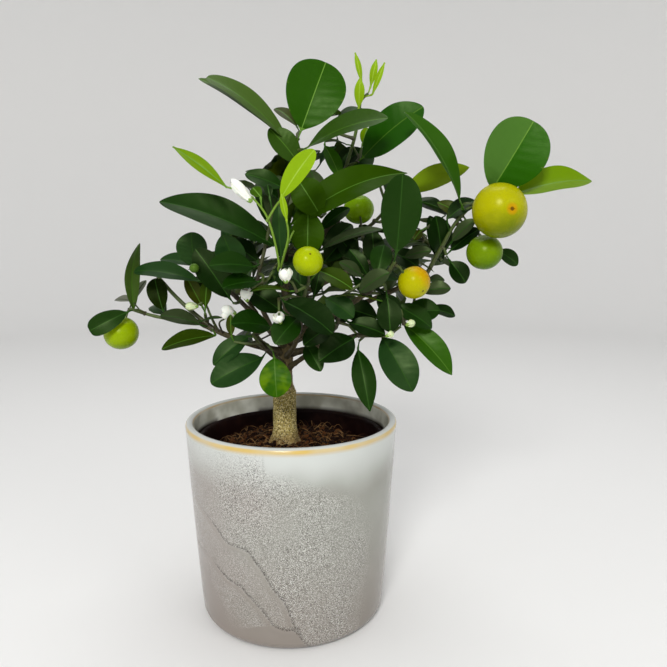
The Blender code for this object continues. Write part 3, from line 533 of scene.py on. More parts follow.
fibre_radius = (FIBRES_REACH - 2) * np.sqrt(scatter.uniform(0.02, 1, FIBRES))
fibre_turn = scatter.uniform(0, math.tau, FIBRES)
fibre_foot = np.column_stack([fibre_radius * np.cos(fibre_turn), fibre_radius * np.sin(fibre_turn),
                              along_line(fibre_radius, SOIL_HEIGHTS) + 0.4])
fibre_long = scatter.uniform(4, 18, (FIBRES, 1))
fibre_way = scatter.uniform(0, math.tau, (FIBRES, 1))
fibre_bend = scatter.uniform(-1.0, 1.0, (FIBRES, 1))
fibre_lift = scatter.uniform(0.3, 3.6, (FIBRES, 1)) ** 1.1
along = np.linspace(0, 1, FIBRE_STEPS)[None]
fibre_heading = fibre_way + fibre_bend * along
fibre_curves = fibre_foot[:, None] + np.stack([
    fibre_long * np.cumsum(np.cos(fibre_heading), axis=1) / FIBRE_STEPS,
    fibre_long * np.cumsum(np.sin(fibre_heading), axis=1) / FIBRE_STEPS,
    fibre_lift * np.sin(math.pi * along) - 0.8 * along], axis=-1)
fibre_curves = fibre_curves[np.linalg.norm(fibre_curves[..., :2], axis=-1).max(axis=1) < FIBRES_REACH]
fibre_rings = tube_rings(fibre_curves, np.full(fibre_curves.shape[:2], FIBRE_HALF) * (1.2 - along), 4)
fibre_kind = (2 + (scatter.uniform(0, 1, (len(fibre_curves), 1, 1)) > 0.55)).astype(int)
chip_finishes = []
for name, colour in (("peat_crumb", paint(34, 20, 13)), ("bark_chip", paint(88, 56, 32)),
                     ("pale_fibre", paint(146, 112, 74)), ("brown_fibre", paint(70, 44, 26))):
    chip = Finish(name, colour, 0.85, {"Specular IOR Level": 0.1})
    chip.feed("Base Color", chip.blend(chip.mottled(1.1, 3.0), tuple(0.6 * c for c in colour), colour))
    chip.relief(chip.mottled(0.6, 3.0), 0.2)
    chip_finishes.append(chip)
loose_shells = [Shell(crumb_rings, crumb_poles, crumb_kind), Shell(fibre_rings, None, fibre_kind)]
make_piece("peat_crumbs", loose_shells, chip_finishes)

# Trunk
# The short stem of the tree: a thick stippled foot with a low flare, cut back at a shoulder, above which the
# younger stem goes on to the fork. The bark is tan and olive, densely pocked, with fine upright cracks.
TRUNK_AXIS = ((-5, 0, 124.5), (-5, 0, 160), (-4, 0, 182), (-3, 0, 206))
# Heights over the peat and radii
TRUNK_RADII = ((-2, 12.0), (0, 11.0), (3, 9.6), (9, 8.5), (24, 8.1), (34, 8.3), (37, 7.9), (39.5, 6.7),
               (43, 5.8), (52, 5.2), (81.5, 4.3))
TRUNK_ROWS = 190
TRUNK_AROUND = 112
trunk_heights = np.linspace(TRUNK_RADII[0][0], TRUNK_RADII[-1][0], TRUNK_ROWS)
trunk_line = curve_through(TRUNK_AXIS, 200)
trunk_rise = trunk_heights + TRUNK_AXIS[0][2]
trunk_line = np.column_stack([np.interp(trunk_rise, trunk_line[:, 2], part) for part in trunk_line.T])
trunk_line[:, 2] = trunk_rise
trunk_radius = along_line(trunk_heights, TRUNK_RADII)
trunk_radius = np.convolve(np.pad(trunk_radius, 3, "edge"), np.full(7, 1 / 7), "valid")
trunk_rings = tube_rings(trunk_line[None], trunk_radius[None], TRUNK_AROUND)
spokes = trunk_rings - trunk_line[None, :, None]
bark_place = trunk_rings * (1, 1, 0.6)
roots = np.maximum(mottle(trunk_rings * (1, 1, 0.3), 6, 31), -0.2)
roots = eased(-trunk_heights, -9, 1)[None, :, None] * roots
bark_height = 0.30 * mottle(bark_place, 5.0, 32) + 0.20 * mottle(trunk_rings, 1.5, 33)
bark_height = bark_height + 0.14 * mottle(trunk_rings, 0.8, 34)
cracks = eased(mottle(trunk_rings * (1, 1, 0.25), 2.2, 35), 0.45, 0.8)
bark_height = bark_height - 0.25 * cracks + 1.6 * roots
swollen = 1 + bark_height / trunk_radius[None, :, None]
trunk_rings = trunk_line[None, :, None] + spokes * swollen[..., None]

bark = Finish("stippled_bark", paint(150, 138, 84), 0.72)
height = bark.height()
young_wood = bark.rise(height + 0.006 * bark.mottled(5, 2.0), 0.161, 0.172)
pocks = bark.rise(bark.cells(1.35, (1.0, 1.0, 1.3)) + 0.3 * bark.mottled(0.8, 1.0), 0.54, 0.36)
# Pale spots scattered on the bark are painted highlights: small bright glints painted into its colour
painted_highlights = bark.rise(bark.mottled(1.2, 2.0), 0.5, 0.62)
streaks = bark.rise(bark.mottled(1.3, 2.0, (1.0, 1.0, 5.0)), 0.52, 0.7)
wood = bark.blend(bark.mottled(7, 3.0), paint(136, 122, 62), paint(178, 158, 88))
wood = bark.blend(0.8 * painted_highlights, wood, paint(240, 224, 164))
wood = bark.blend(0.75 * bark.rise(height, 0.136, 0.1245), wood, paint(112, 84, 46))
wood = bark.blend(0.45 * streaks, wood, paint(136, 118, 62))
wood = bark.blend(0.95 * pocks, wood, paint(50, 37, 17))
brown = bark.blend(bark.mottled(2.2, 3.0, (1.0, 1.0, 3.0)), paint(70, 56, 32), paint(118, 104, 62))
bark.feed("Base Color", bark.blend(young_wood, wood, brown))
bark.feed("Roughness", 0.62 + 0.25 * bark.mottled(2, 2.0))
bark.relief(bark.mottled(0.7, 4.0) - pocks, 0.25, 0.8)
make_piece("trunk_bark", [Shell(trunk_rings)], [bark], ["trunk"], sharp=80.0)

# Leader and boughs
# The limbs grow out of the trunk's fork and the leader, each with a swollen collar at its foot, and taper to
# where they enter the foliage. Their bark is smooth and dark brown, ringed where leaves once stood.
BOUGH_ROWS = 44
BOUGH_AROUND = 14
BOUGH_SLIM = 0.84


class Limb(NamedTuple):
    """A bough: the piece it grows out of, its route, and its radii at foot and tip."""
    name: str
    carrier: str
    route: tuple
    foot: float
    tip: float


LIMBS = (
    Limb("leader", "trunk", ((-3, 0, 200), (-2.7, 0, 215), (-3, 2, 232), (1, 6, 262), (6, 10, 290)), 4.0,
         2.0),
    Limb("bough_left", "trunk", ((-4, 0, 188), (-30, -9, 197), (-50, -14, 206), (-60, -15, 211)), 3.0, 1.9),
    Limb("bough_left_rise", "trunk", ((-4, 0, 197), (-16, -9, 208), (-30, -18, 224)), 2.4, 1.9),
    Limb("bough_left_low", "trunk", ((-5, 0, 179), (-9, -14, 187), (-13, -25, 193)), 2.2, 1.8),
    Limb("bough_front_left", "trunk", ((-4, 0, 192), (-12, -22, 210), (-18, -42, 230)), 2.4, 1.8),
    Limb("bough_front", "trunk", ((-3, 0, 201), (-1, -24, 216), (-1, -46, 234), (-3, -58, 248)), 2.4, 1.7),
    Limb("bough_front_low", "trunk", ((-4, 0, 185), (3, -22, 196), (8, -42, 210)), 2.2, 1.7),
    Limb("bough_right_front_low", "trunk", ((-4, 0, 176), (14, -19, 192), (27, -31, 206)), 2.2, 1.7),
    Limb("bough_right_front", "trunk", ((-3, 0, 195), (20, -20, 211), (40, -36, 226), (50, -44, 234)), 2.6,
         1.8),
    Limb("bough_right_low", "trunk", ((-4, 0, 187), (24, -6, 195), (46, -14, 203), (58, -21, 208)), 2.8,
         1.8),
    Limb("bough_right", "trunk", ((-3, 0, 201), (28, 2, 214), (64, -8, 230), (88, -21, 243)), 2.8, 1.8),
    Limb("bough_right_mid", "leader", ((-4, 1, 222), (22, 2, 237), (48, -4, 250), (62, -8, 256)), 2.4, 1.8),
    Limb("bough_upper_right", "leader", ((-2, 3, 241), (14, 2, 260), (30, -4, 280)), 2.2, 1.8),
    Limb("bough_centre", "leader", ((-3, 2, 234), (-3, -8, 248), (-2, -14, 258)), 2.2, 1.8),
    Limb("bough_top", "leader", ((1, 6, 262), (18, 12, 286), (34, 10, 308)), 2.0, 1.7),
    Limb("bough_back_left", "trunk", ((-4, 0, 190), (-22, 25, 206), (-36, 42, 222)), 2.4, 1.8),
    Limb("bough_back", "trunk", ((-4, 0, 183), (3, 28, 202), (8, 46, 219)), 2.4, 1.8),
    Limb("bough_back_right", "trunk", ((-3, 0, 193), (25, 21, 207), (48, 37, 223)), 2.4, 1.8),
    Limb("bough_back_top", "leader", ((-1, 5, 252), (-6, 22, 270), (-10, 32, 284)), 2.0, 1.7),
)
bough_curves = np.stack([curve_through(limb.route, BOUGH_ROWS - 1) for limb in LIMBS])
bough_steps = np.linalg.norm(np.diff(bough_curves, axis=1), axis=-1)
bough_run = np.concatenate([np.zeros((len(LIMBS), 1)), np.cumsum(bough_steps, axis=1)], axis=1)
bough_share = bough_run / bough_run[:, -1:]
bough_foot = BOUGH_SLIM * np.array([[limb.foot] for limb in LIMBS])
bough_tip = BOUGH_SLIM * np.array([[limb.tip] for limb in LIMBS])
buried = np.array([[5.0 if limb.carrier == "trunk" else 2.5] for limb in LIMBS])
collar = 1 + 0.45 * np.exp(-np.maximum(bough_run - buried, 0) / 3.5)
knuckles = 1 + 0.10 * np.maximum(np.cos(bough_run / 1.9), 0.0) ** 6
bough_radii = (bough_foot + (bough_tip - bough_foot) * bough_share) * collar * knuckles
bough_radii[0, :4] = bough_foot[0]
bough_radii[:, -1:] = 0.9 * bough_tip
bough_rings = tube_rings(bough_curves, bough_radii, BOUGH_AROUND)
spokes = bough_rings - bough_curves[:, :, None]
bough_height = 0.16 * mottle(bough_rings, 3.2, 41) + 0.08 * mottle(bough_rings, 1.2, 42)
bough_rings = bough_rings + unit(spokes) * bough_height[..., None]
bough_bark = Finish("brown_bark", paint(70, 56, 34), 0.68)
bough_tone = bough_bark.blend(bough_bark.mottled(3.0, 3.0), paint(36, 30, 17), paint(78, 70, 38))
scuffs = bough_bark.rise(bough_bark.mottled(0.8, 2.0), 0.58, 0.7)
bough_bark.feed("Base Color", bough_bark.blend(0.35 * scuffs, bough_tone, paint(140, 126, 84)))
bough_bark.feed("Roughness", 0.55 + 0.3 * bough_bark.mottled(1.5, 2.0))
bough_bark.relief(bough_bark.mottled(0.6, 3.0), 0.2, 0.8)
limb_names = [limb.name for limb in LIMBS]
make_piece("bough_bark", [Shell(bough_rings)], [bough_bark], limb_names, sharp=80.0)

# Twigs
# Each mass of foliage grows on from its bough as one stem. Side twigs leave it a golden angle apart and bend
# upward, and finer twigs leave them in the same way. Young wood is green, and this year's shoots are lime.
UP = np.array([0.0, 0.0, 1.0])
GOLDEN_ANGLE = math.radians(137.5)
CROWN_HEART = np.array([0.0, 0.0, 225.0])
# Steps along the route of a bough, a stem and a twig, and between two bends of a shoot
BOUGH_STEPS = 5
STEM_STEPS = 5
TWIG_STEPS = 2
FINE_STEPS = 5
# Radii at foot and tip of stems, side twigs, stalks of fruit, and finer twigs
STEM_FOOT = 1.7
STEM_TIP = 1.0
YOUNG_TIP = 0.6
TWIG_FOOT = 1.15
TWIG_TIP = 0.85
STALK_TIP = 0.65
FINE_FOOT = 0.8
FINE_TIP = 0.5
SHORTEST_STALK = 4.0
LONGEST_STALK = 11.0
STRAIGHT_START = 4.0
# Side twigs: how far they lean along their stem and upward, their length and the range it is drawn from, and
# the rise of their tip as a share of it. Leaves: their spacing, length and slimness, how far they lean along
# their shoot at its foot and how much more at its tip, their stalk, and how far they face outward
SIDE_LEAN, SIDE_LIFT = 0.45, 0.25
SIDE_TWIG = 30.0
SIDE_RANGE = (0.7, 1.15)
SIDE_BEND = 0.12
LEAF_EVERY = 6.0
LEAF_LONG = (24.0, 40.0)
LEAF_SLIM = (0.46, 0.58)
LEAF_LEAN, LEAF_LEAN_MORE = 0.55, 0.9
LEAF_STALK = (5.0, 8.0)
LEAF_OUTWARD = (0.3, 0.9)
LEAF_ARCH = 0.05
# The same for finer twigs and the leaves on them
FINE_LEAN, FINE_LIFT = 0.5, 0.3
FINE_EVERY = 6.5
FINE_LONG = (13.0, 24.0)
FINE_BEND = 0.15
FINE_LEAVES = 4
FINE_LEAF_LONG = (19.0, 33.0)
FINE_LEAF_SLIM = (0.48, 0.62)
FINE_LEAF_LEAN, FINE_LEAF_LEAN_MORE = 0.6, 0.3
FINE_LEAF_STALK = (3.5, 6.0)
FINE_OUTWARD = (0.3, 1.0)
# The space that a leaf keeps to other leaves, and to fruit and buds
LEAF_CLEAR = 2.4
BALL_CLEAR = 2.0
# How near to a leaf or fruit that the photograph shows, in its pixels, another may pass in front
SHOWN_CLEAR = 5.5
# Added to a mass's seed for its listed leaves, for the looks of the others and for its finer twigs
HAND_SEED = 1000
LOOK_SEED = 2000
FINE_SEED = 3000
# The viewer's eye, the downward turn of its gaze, and the photograph's width and focal length in its pixels
EYE = np.array([30.0, -466.0, 273.0])
EYE_DOWN = math.radians(8.65)
FRAME = 667.0
# Where the photograph shows sky: the middle of each open patch, and its reach across and up, in its pixels
SKY = ((150, 200, 70, 75), (80, 250, 30, 70), (120, 385, 90, 30), (170, 268, 10, 26), (430, 128, 22, 26),
       (478, 150, 14, 60), (440, 370, 40, 90), (490, 300, 45, 40), (555, 240, 60, 50), (400, 90, 60, 22),
       (268, 90, 22, 40), (240, 140, 24, 34), (330, 400, 22, 36), (520, 90, 50, 24), (300, 20, 300, 28),
       (215, 300, 9, 12), (250, 360, 8, 8), (476, 262, 8, 12), (330, 350, 8, 10))


class Leaf(NamedTuple):
    """One leaf: where its blade starts, its size, its compass heading and rise, how far its face leans from
    the level, its tone, how blunt, folded and drooping it is, and the side that its face leans to."""
    foot: tuple
    long: float
    wide: float
    heading: float
    rise: float
    lean: float
    tone: str = "dark"
    point: float = 0.68
    fold: float = 0.3
    droop: float = 0.06
    side: float = 270.0


class Ball(NamedTuple):
    """A fruit or a flower bud: its middle, its radius and its look."""
    middle: tuple
    radius: float
    look: str = ""


class Sprig(NamedTuple):
    """A twig that the photograph shows: its route, its radii at foot and tip, and its wood."""
    route: tuple
    foot: float
    tip: float
    wood: str = "brown"


class Mass(NamedTuple):
    """Foliage on one stem: its bough, its route from there, its own space, and what it carries."""
    name: str
    bough: str
    route: tuple
    space: tuple
    reach: tuple
    twigs: int
    seed: int
    wood: str = "brown"
    leaves: tuple = ()
    fruit: tuple = ()
    buds: tuple = ()
    sprigs: tuple = ()


MASSES = (
    Mass("mass_top_left", "leader", ((4, 4, 306), (3, -2, 320), (6, -8, 334)), (4, 4, 318), (34, 32, 28), 3,
         3, "fresh",
         leaves=(
             Leaf((-2, -8, 334), 63, 18, 192, 40, 38, "pale_sheen", 0.42, 0.35, 0.08),
             Leaf((-1, -4, 333), 70, 15, 187, 37, 34, "pale_sheen"),
             Leaf((7, -8, 318), 30, 18, 190, 50, 60, "sheen"),
             Leaf((9, -12, 340), 47, 39, 25, 68, 95, "bright", 0.5, 0.2, 0.0),
             Leaf((13, -14, 328), 58, 26, 332, 17, 42, "sheen", 0.7, 0.25, 0.06),
             Leaf((10, 2, 342), 32, 18, 32, 26, -20, "mid"),
             Leaf((5, 3, 344), 24, 11, 145, 38, 30, "olive_brown"))),
    Mass("mass_top", "bough_top", ((40, 10, 322), (46, 6, 344), (49, 4, 371)), (44, 14, 326), (30, 32, 24),
         3, 5, "fresh",
         leaves=(
             Leaf((49, 5, 373), 20, 4, 180, 77, 80, "young", 1.0, 0.5),
             Leaf((47, 2, 356), 19, 7, 285, 82, 90, "young", 0.9, 0.4),
             Leaf((55, 3, 370), 18, 5, 0, 78, 80, "young", 1.0, 0.5),
             Leaf((56, 0, 364), 22, 4, 345, 68, 80, "young", 1.0, 0.5),
             Leaf((50, -1, 323), 51, 28, 332, 37, 62, "glossy", 0.6, 0.2, 0.08),
             Leaf((50, 5, 333), 11, 7, 0, 74, 80, "lime"), Leaf((24, 0, 331), 24, 11, 330, -60, 50, "mid"),
             Leaf((51, 14, 330), 26, 17, 150, -30, 60, "deep"), Leaf((33, 16, 347), 26, 14, 33, 33, 40),
             Leaf((35, 16, 309), 31, 20, 10, 43, 60, "blue"))),
    Mass("mass_upper_right", "bough_upper_right",
         ((36, 4, 276), (48, 4, 273), (62, -6, 284), (74, -13, 300)), (50, 10, 288), (48, 46, 28), 6, 7,
         leaves=(
             Leaf((75, -14, 297.5), 47, 17, 350, 23, -55, "lime_under", 0.85),
             Leaf((46, -7, 254), 20, 14, 172, 52, 64, "deep")),
         fruit=(
             Ball((48, 18, 289), 10.9, "green"),)),
    Mass("mass_centre", "bough_centre", ((-2, -20, 272), (-1, -26, 288), (4, -30, 302)), (2, -20, 272),
         (42, 34, 38), 6, 9,
         leaves=(
             Leaf((2, -34, 277), 84, 26, 3, 31, 48, "olive", 1.0, 0.3, 0.2),
             Leaf((14, -38, 286), 27, 21, 268, -74, 84, "olive", 0.5, 0.14),
             Leaf((22, -39, 283), 26, 21, 178, 58, 78, "olive", 0.5, 0.14),
             Leaf((24, -8, 290), 27, 12, 157, 67, 75, "grey"),
             Leaf((21, -16, 261), 44, 11, 354, 21, 35, "grey"), Leaf((21, -24, 274), 25, 10, 11, 38, 50),
             Leaf((24, -14, 262), 26, 14, 20, 40, 62, "deep"),
             Leaf((24, -6, 253), 25, 16, 8, 48, 66, "deep"))),
    Mass("mass_far_right", "bough_right", ((100, -27, 262), (109, -33, 280), (121, -38, 293)),
         (118, -40, 278), (26, 26, 26), 1, 13, "green",
         leaves=(
             Leaf((109, -40, 293), 64, 20, 180, 60, 68, "mid", 0.7, 0.45, 0.07, 318),
             Leaf((127, -50, 299), 45, 37, 343, 60, 85, "fresh", 0.5, 0.42, 0.0),
             Leaf((142, -46, 296), 47, 25, 355, 13, 42, "lime", 0.8, 0.35, 0.08),
             Leaf((136.5, -30, 261), 16, 11, 350, -33, 60),
             Leaf((106, -30, 254), 17, 14, 345, -52, 70, "deep"),
             Leaf((102, -36, 281), 24, 13, 19, 33, 40, "deep"),
             Leaf((114, -28, 279), 31, 9, 163, 29, 40, "deep"),
             Leaf((114, -32, 282), 20, 10, 173, 31, 60, "olive_brown"),
             Leaf((106, -34, 267), 20, 9, 335, 45, 50, "grey"),
             Leaf((106, -30, 261), 23, 12, 341, 39, 50, "deep"),
             Leaf((111, -36, 290), 8, 4, 346, 4, 30, "olive_brown")),
         fruit=(
             Ball((129, -62, 285.7), 16.4, "gold"), Ball((124.4, -46, 260.5), 11.3, "leaf_green"))),
    Mass("mass_right", "bough_right_mid", ((78, -11, 266), (90, -14, 274), (100, -16, 281)), (76, 4, 258),
         (44, 42, 28), 6, 17,
         leaves=(
             Leaf((104, -20, 284), 26, 16, 151, 25, 30, "deep"),
             Leaf((101.5, -20, 258), 27, 17, 240, 68, 55, "deep"),
             Leaf((76, -32, 257), 18, 9, 337, 15, 60, "grey"),
             Leaf((52, -38, 245), 21, 10, 170, 56, 50, "deep"),
             Leaf((88, -18, 274), 9, 7, 219, -42, 60, "olive_brown"),
             Leaf((75, -22, 263), 19, 5, 6, 6, 20, "grey"),
             Leaf((103, -12, 252), 33, 12, 193, 75, 60, "deep"),
             Leaf((69, -28, 260), 19, 14, 339, -28, 60, "deep"),
             Leaf((58, -6, 251), 23, 15, 126, 84, 70, "deep"))),
    Mass("mass_right_front", "bough_right_front", ((57, -49, 241), (63, -54, 248), (67, -60, 255)),
         (54, -40, 236), (32, 30, 24), 3, 19,
         leaves=(
             Leaf((68, -63, 262), 45, 24, 280, 77, 85, "dark", 0.5, 0.4, 0.0),
             Leaf((57, -52, 247), 21, 14, 60, 62, 65), Leaf((71, -36, 226), 27, 15, 345, -30, 55),
             Leaf((46, -52, 236), 23, 13, 339, 35, 50, "grey"),
             Leaf((64, -46, 232), 22, 16, 285, -72, 75, "deep")),
         fruit=(
             Ball((80, -52, 242), 10.2, "orange"),)),
    Mass("mass_right_low", "bough_right_low", ((68, -25, 212), (76, -27, 215), (88, -26, 220)),
         (66, -16, 218), (40, 34, 18), 4, 23,
         leaves=(
             Leaf((76, -30, 213.5), 46, 18, 332, -40, 50, "mid", 0.85, 0.5, 0.1),
             Leaf((62, -38, 205), 40, 23, 314, -50, 70, "blue", 0.7),
             Leaf((76, -30, 219), 24, 17, 350, 10, 50), Leaf((94, -22, 222), 18, 11, 353, -12, 40, "deep"),
             Leaf((46, -34, 197), 42, 15.5, 292, -62, 75, "dark", 1.0, 0.4),
             Leaf((88, -28, 234), 19, 11, 346, 10, 50, "grey"),
             Leaf((94, -16, 240), 13, 8, 25, 8, 40, "grey"),
             Leaf((60, -15, 215), 26, 17, 188, 18, 62, "deep")),
         buds=(
             Ball((78, -50, 216), 2.5, "green_bud"),)),
    Mass("mass_front_low", "bough_right_front_low", ((32, -36, 214), (34, -40, 222), (33, -43, 231)),
         (34, -34, 220), (32, 30, 24), 4, 29,
         leaves=(
             Leaf((12, -38, 201), 22, 12, 308, -43, 65), Leaf((28, -42, 213), 24, 14, 223, -22, 60, "deep"),
             Leaf((25, -48, 232), 22, 15, 337, -30, 55, "blue"),
             Leaf((40, -46, 216), 24, 14, 348, -15, 55, "deep"),
             Leaf((43, -40, 205), 30, 21, 218, -22, 60, "deep", 0.9),
             Leaf((48, -44, 245), 18, 9, 203, 33, 50, "grey"),
             Leaf((73, -40, 217), 22, 15, 195, 46, 60, "deep"),
             Leaf((57, -48, 231), 27, 5, 193, 8, 8, "olive_deep")),
         buds=(
             Ball((65, -54, 209.5), 2.2, "green_bud"),)),
    Mass("mass_front", "bough_front_low", ((10, -50, 220), (11, -56, 230), (15, -60, 243)), (4, -50, 232),
         (32, 30, 28), 4, 31,
         leaves=(
             Leaf((0, -62, 231), 36, 22, 338, -27, 62, "deep", 0.55, 0.35, 0.06, 305),
             Leaf((4, -68, 238), 24, 7, 185, 3, 15, "olive_deep"),
             Leaf((-2, -54, 224), 24, 17, 180, 35, 60, "deep"),
             Leaf((21, -62, 250), 24, 13, 338, -24, 50, "olive_deep"),
             Leaf((8, -60, 221), 24, 17, 231, -33, 60)),
         fruit=(
             Ball((15, -73, 256), 8.9, "lemon"),),
         buds=(
             Ball((2, -74, 247), 3.8, "tulip"), Ball((-2.6, -70, 221.5), 3.2, "star"))),
    Mass("mass_young", "bough_front",
         ((-3, -63, 256), (-6.5, -69, 275), (-10.5, -73, 285), (-16, -76.5, 292)), (-8, -62, 262),
         (20, 20, 22), 2, 37, "lime",
         leaves=(
             Leaf((0, -77, 292), 34, 12.5, 9, 56, 66, "young", 0.6, 0.45),
             Leaf((3, -77, 280), 15, 4, 218, 77, 80, "young", 0.8, 0.4),
             Leaf((-31, -78, 298.3), 39, 8, 173, 37, 62, "lime", 1.15, 0.4, 0.03),
             Leaf((-12, -74, 293), 8, 7, 150, 45, 70, "leaf_lime", 0.5, 0.1),
             Leaf((-7, -72, 293), 8, 5, 120, 70, 60, "deep"),
             Leaf((-2, -58, 257), 32, 9, 255, 83, 75, "blue")),
         buds=(
             Ball((-18.9, -80, 292.3), 3.4, "long"),),
         sprigs=(
             Sprig(((-16, -76.5, 292), (-24, -77.5, 296.5), (-31, -78, 298.3)), 0.7, 0.55, "lime"),
             Sprig(((-9, -71, 279), (-4, -73, 287), (-0.5, -76, 291)), 0.75, 0.6, "lime"),
             Sprig(((-3, -58, 249), (1, -66, 261), (3.6, -71, 271), (3, -76, 278.5)), 0.75, 0.6, "lime"),
             Sprig(((1, -66, 261), (4.8, -66, 270.5), (6, -58, 273.5)), 0.65, 0.5, "lime"))),
    Mass("mass_front_left", "bough_front_left", ((-17, -50, 246), (-12, -52, 264), (-7, -54, 286)),
         (-22, -46, 252), (38, 32, 32), 6, 41,
         leaves=(
             Leaf((-6, -52, 264.5), 74, 25, 187, 24, 46, "dark", 0.72, 0.4, 0.08),
             Leaf((0, -48, 302), 25, 9, 199, 19, 35, "grey"),
             Leaf((-1, -42, 273), 33, 14, 203, 72, 75, "grey"), Leaf((0, -58, 299), 24, 12, 190, 21, 60),
             Leaf((-4, -50, 293), 18, 10, 162, 36, 50), Leaf((-30, -49, 250), 25, 18, 243, 57, 70, "blue"),
             Leaf((-18, -44, 255), 22, 15, 180, 33, 50, "deep"), Leaf((-18, -60, 252), 28, 17, 208, 5, 50),
             Leaf((-16, -62, 243), 24, 15, 219, -3, 45)),
         buds=(
             Ball((-23, -60, 234.5), 3.6, "tulip"),)),
    Mass("mass_left", "bough_left_rise", ((-40, -20, 234), (-50, -20, 242), (-60, -18, 248)),
         (-46, -8, 240), (36, 36, 26), 6, 43,
         leaves=(
             Leaf((-62, -22, 250), 23, 21, 245, 82, 85, "blue", 0.55, 0.15),
             Leaf((-59, -26, 241), 42, 17, 186, 12, 35, "blue", 0.5),
             Leaf((-64, -10, 250), 26, 13, 170, 13, 30, "blue"),
             Leaf((-37, -38, 231), 38, 19, 185, 57, 60, "deep")),
         fruit=(
             Ball((-57.4, -46, 250.6), 3.1, "fruitlet"),)),
    Mass("mass_left_tip", "bough_left", ((-76, -15, 214), (-92, -13, 216), (-110, -11, 221)),
         (-80, -6, 222), (34, 28, 20), 3, 47, "green",
         leaves=(
             Leaf((-107.5, -10, 219.5), 45, 11, 180, 84, 78, "olive_mid", 0.7, 0.25, -0.7, 305),
             Leaf((-108, -10, 226), 14, 8, 165, 5, 30, "pale_grey"),
             Leaf((-109, -6, 226), 17, 6, 30, 56, 50, "pale_grey"),
             Leaf((-59, -16, 223), 23, 10, 192, 64, 60, "olive_brown"),
             Leaf((-55, -26, 224), 19, 8, 318, 81, 70, "olive_deep"),
             Leaf((-58, -22, 214), 14, 4, 352, 12, 30, "grey"),
             Leaf((-108, -25, 220), 26, 14, 206, -24, 60, "dark", 0.35, 0.25, 0.06, 312),
             Leaf((-86, -16, 221), 22, 14, 150, 73, 70, "olive_dark", 0.5),
             Leaf((-60, -20, 211), 27, 14, 189, 17, 35, "grey", 0.6),
             Leaf((-49, -22, 204), 37, 16, 193, -10, 35, "olive_deep", 0.7)),
         fruit=(
             Ball((-114.2, -18, 205.2), 11.7, "lime_green"),),
         sprigs=(
             Sprig(((-52, -14.5, 207), (-75, -13, 227), (-92, -11, 246)), 1.6, 1.2, "green"),)),
    Mass("mass_left_low", "bough_left_low", ((-16, -30, 197), (-19, -36, 202), (-22, -42, 208)),
         (-26, -30, 206), (32, 28, 17), 3, 53,
         leaves=(
             Leaf((-26, -30, 205), 30, 14, 202, -35, 55, "blue"),
             Leaf((-17, -34, 191), 37, 20, 200, -22, 60, "blue", 0.6),
             Leaf((-9, -34, 191), 26, 21, 282, -68, 80, "mottled", 0.6, 0.1),
             Leaf((-10, -50, 214), 28, 18, 220, 11, 50),
             Leaf((-37, -34, 206), 14, 6, 269, 82, 70, "olive_brown")),
         buds=(
             Ball((-63, -24, 224), 2.6, "pale"), Ball((-38, -30, 220.5), 4.2, "open")),
         sprigs=(
             Sprig(((-12, -20, 192), (-17, -30, 201), (-22, -40, 210)), 1.3, 0.9, "brown"),
             Sprig(((-11, -17, 205), (-21, -16, 200), (-29, -14, 198)), 0.6, 0.45, "brown"),
             Sprig(((-49, -15, 206.5), (-52, -20, 215.5), (-55.5, -22, 226)), 1.0, 0.7, "green"),
             Sprig(((-46, -15, 205), (-46.5, -23, 213), (-40, -28, 217)), 0.7, 0.55, "brown"))),
    Mass("mass_back_left", "bough_back_left", ((-42, 48, 232), (-47, 53, 243), (-50, 56, 254)),
         (-34, 44, 238), (54, 52, 42), 8, 59),
    Mass("mass_back", "bough_back", ((10, 54, 229), (11, 61, 241), (12, 66, 254)), (10, 58, 240),
         (52, 54, 44), 8, 61),
    Mass("mass_back_right", "bough_back_right", ((58, 43, 233), (66, 47, 243), (72, 50, 255)),
         (58, 42, 240), (54, 54, 42), 8, 67),
    Mass("mass_back_top", "bough_back_top", ((-12, 38, 294), (-12, 42, 304), (-12, 45, 315)), (0, 36, 296),
         (46, 46, 40), 7, 71),
)


class Shoot:
    """A stem or twig: the bends of its axis, the finer points and directions between them, and its radii.

    A bare one takes only what is listed to go on it.
    """

    def __init__(self, bends, foot, tip, wood, bare=False):
        self.bends = np.asarray(bends)
        self.bare = bare
        self.foot = foot
        self.tip = tip
        self.wood = wood
        part = (np.arange(FINE_STEPS) / FINE_STEPS)[:, None]
        legs = self.bends[:-1, None] + (self.bends[1:] - self.bends[:-1])[:, None] * part
        self.curve = np.vstack([legs.reshape(-1, 3), self.bends[-1:]])
        before = np.vstack([self.curve[:1], self.curve[:-1]])
        after = np.vstack([self.curve[1:], self.curve[-1:]])
        self.way = unit(after - before)
        self.long = np.linalg.norm(np.diff(self.curve, axis=0), axis=-1).sum()

    def at(self, place):
        index = min(int(round(place * (len(self.curve) - 1))), len(self.curve) - 1)
        return self.curve[index], self.way[index]


class Blade(NamedTuple):
    """A leaf or petal where it grows: its root and foot, way and face, size, tone and shape."""
    root: np.ndarray
    foot: np.ndarray
    way: np.ndarray
    face: np.ndarray
    long: float
    wide: float
    tone: str
    point: float
    fold: float
    droop: float
    arch: float
    twist: float
    wave: float


def heading_way(heading, rise):
    """The direction at a compass heading, counted from +X towards +Y, and a rise over the level."""
    turn, lift = math.radians(heading), math.radians(rise)
    return np.array([math.cos(turn) * math.cos(lift), math.sin(turn) * math.cos(lift), math.sin(lift)])


def around(along, turn):
    """A direction square to a shoot, at an angle round it: cosine on its level side and sine across that."""
    side = np.cross(along, UP)
    if np.linalg.norm(side) < 0.2:
        side = np.cross(along, (0.0, 1.0, 0.0))
    side = unit(side)
    return side * math.cos(turn) + np.cross(side, along) * math.sin(turn)


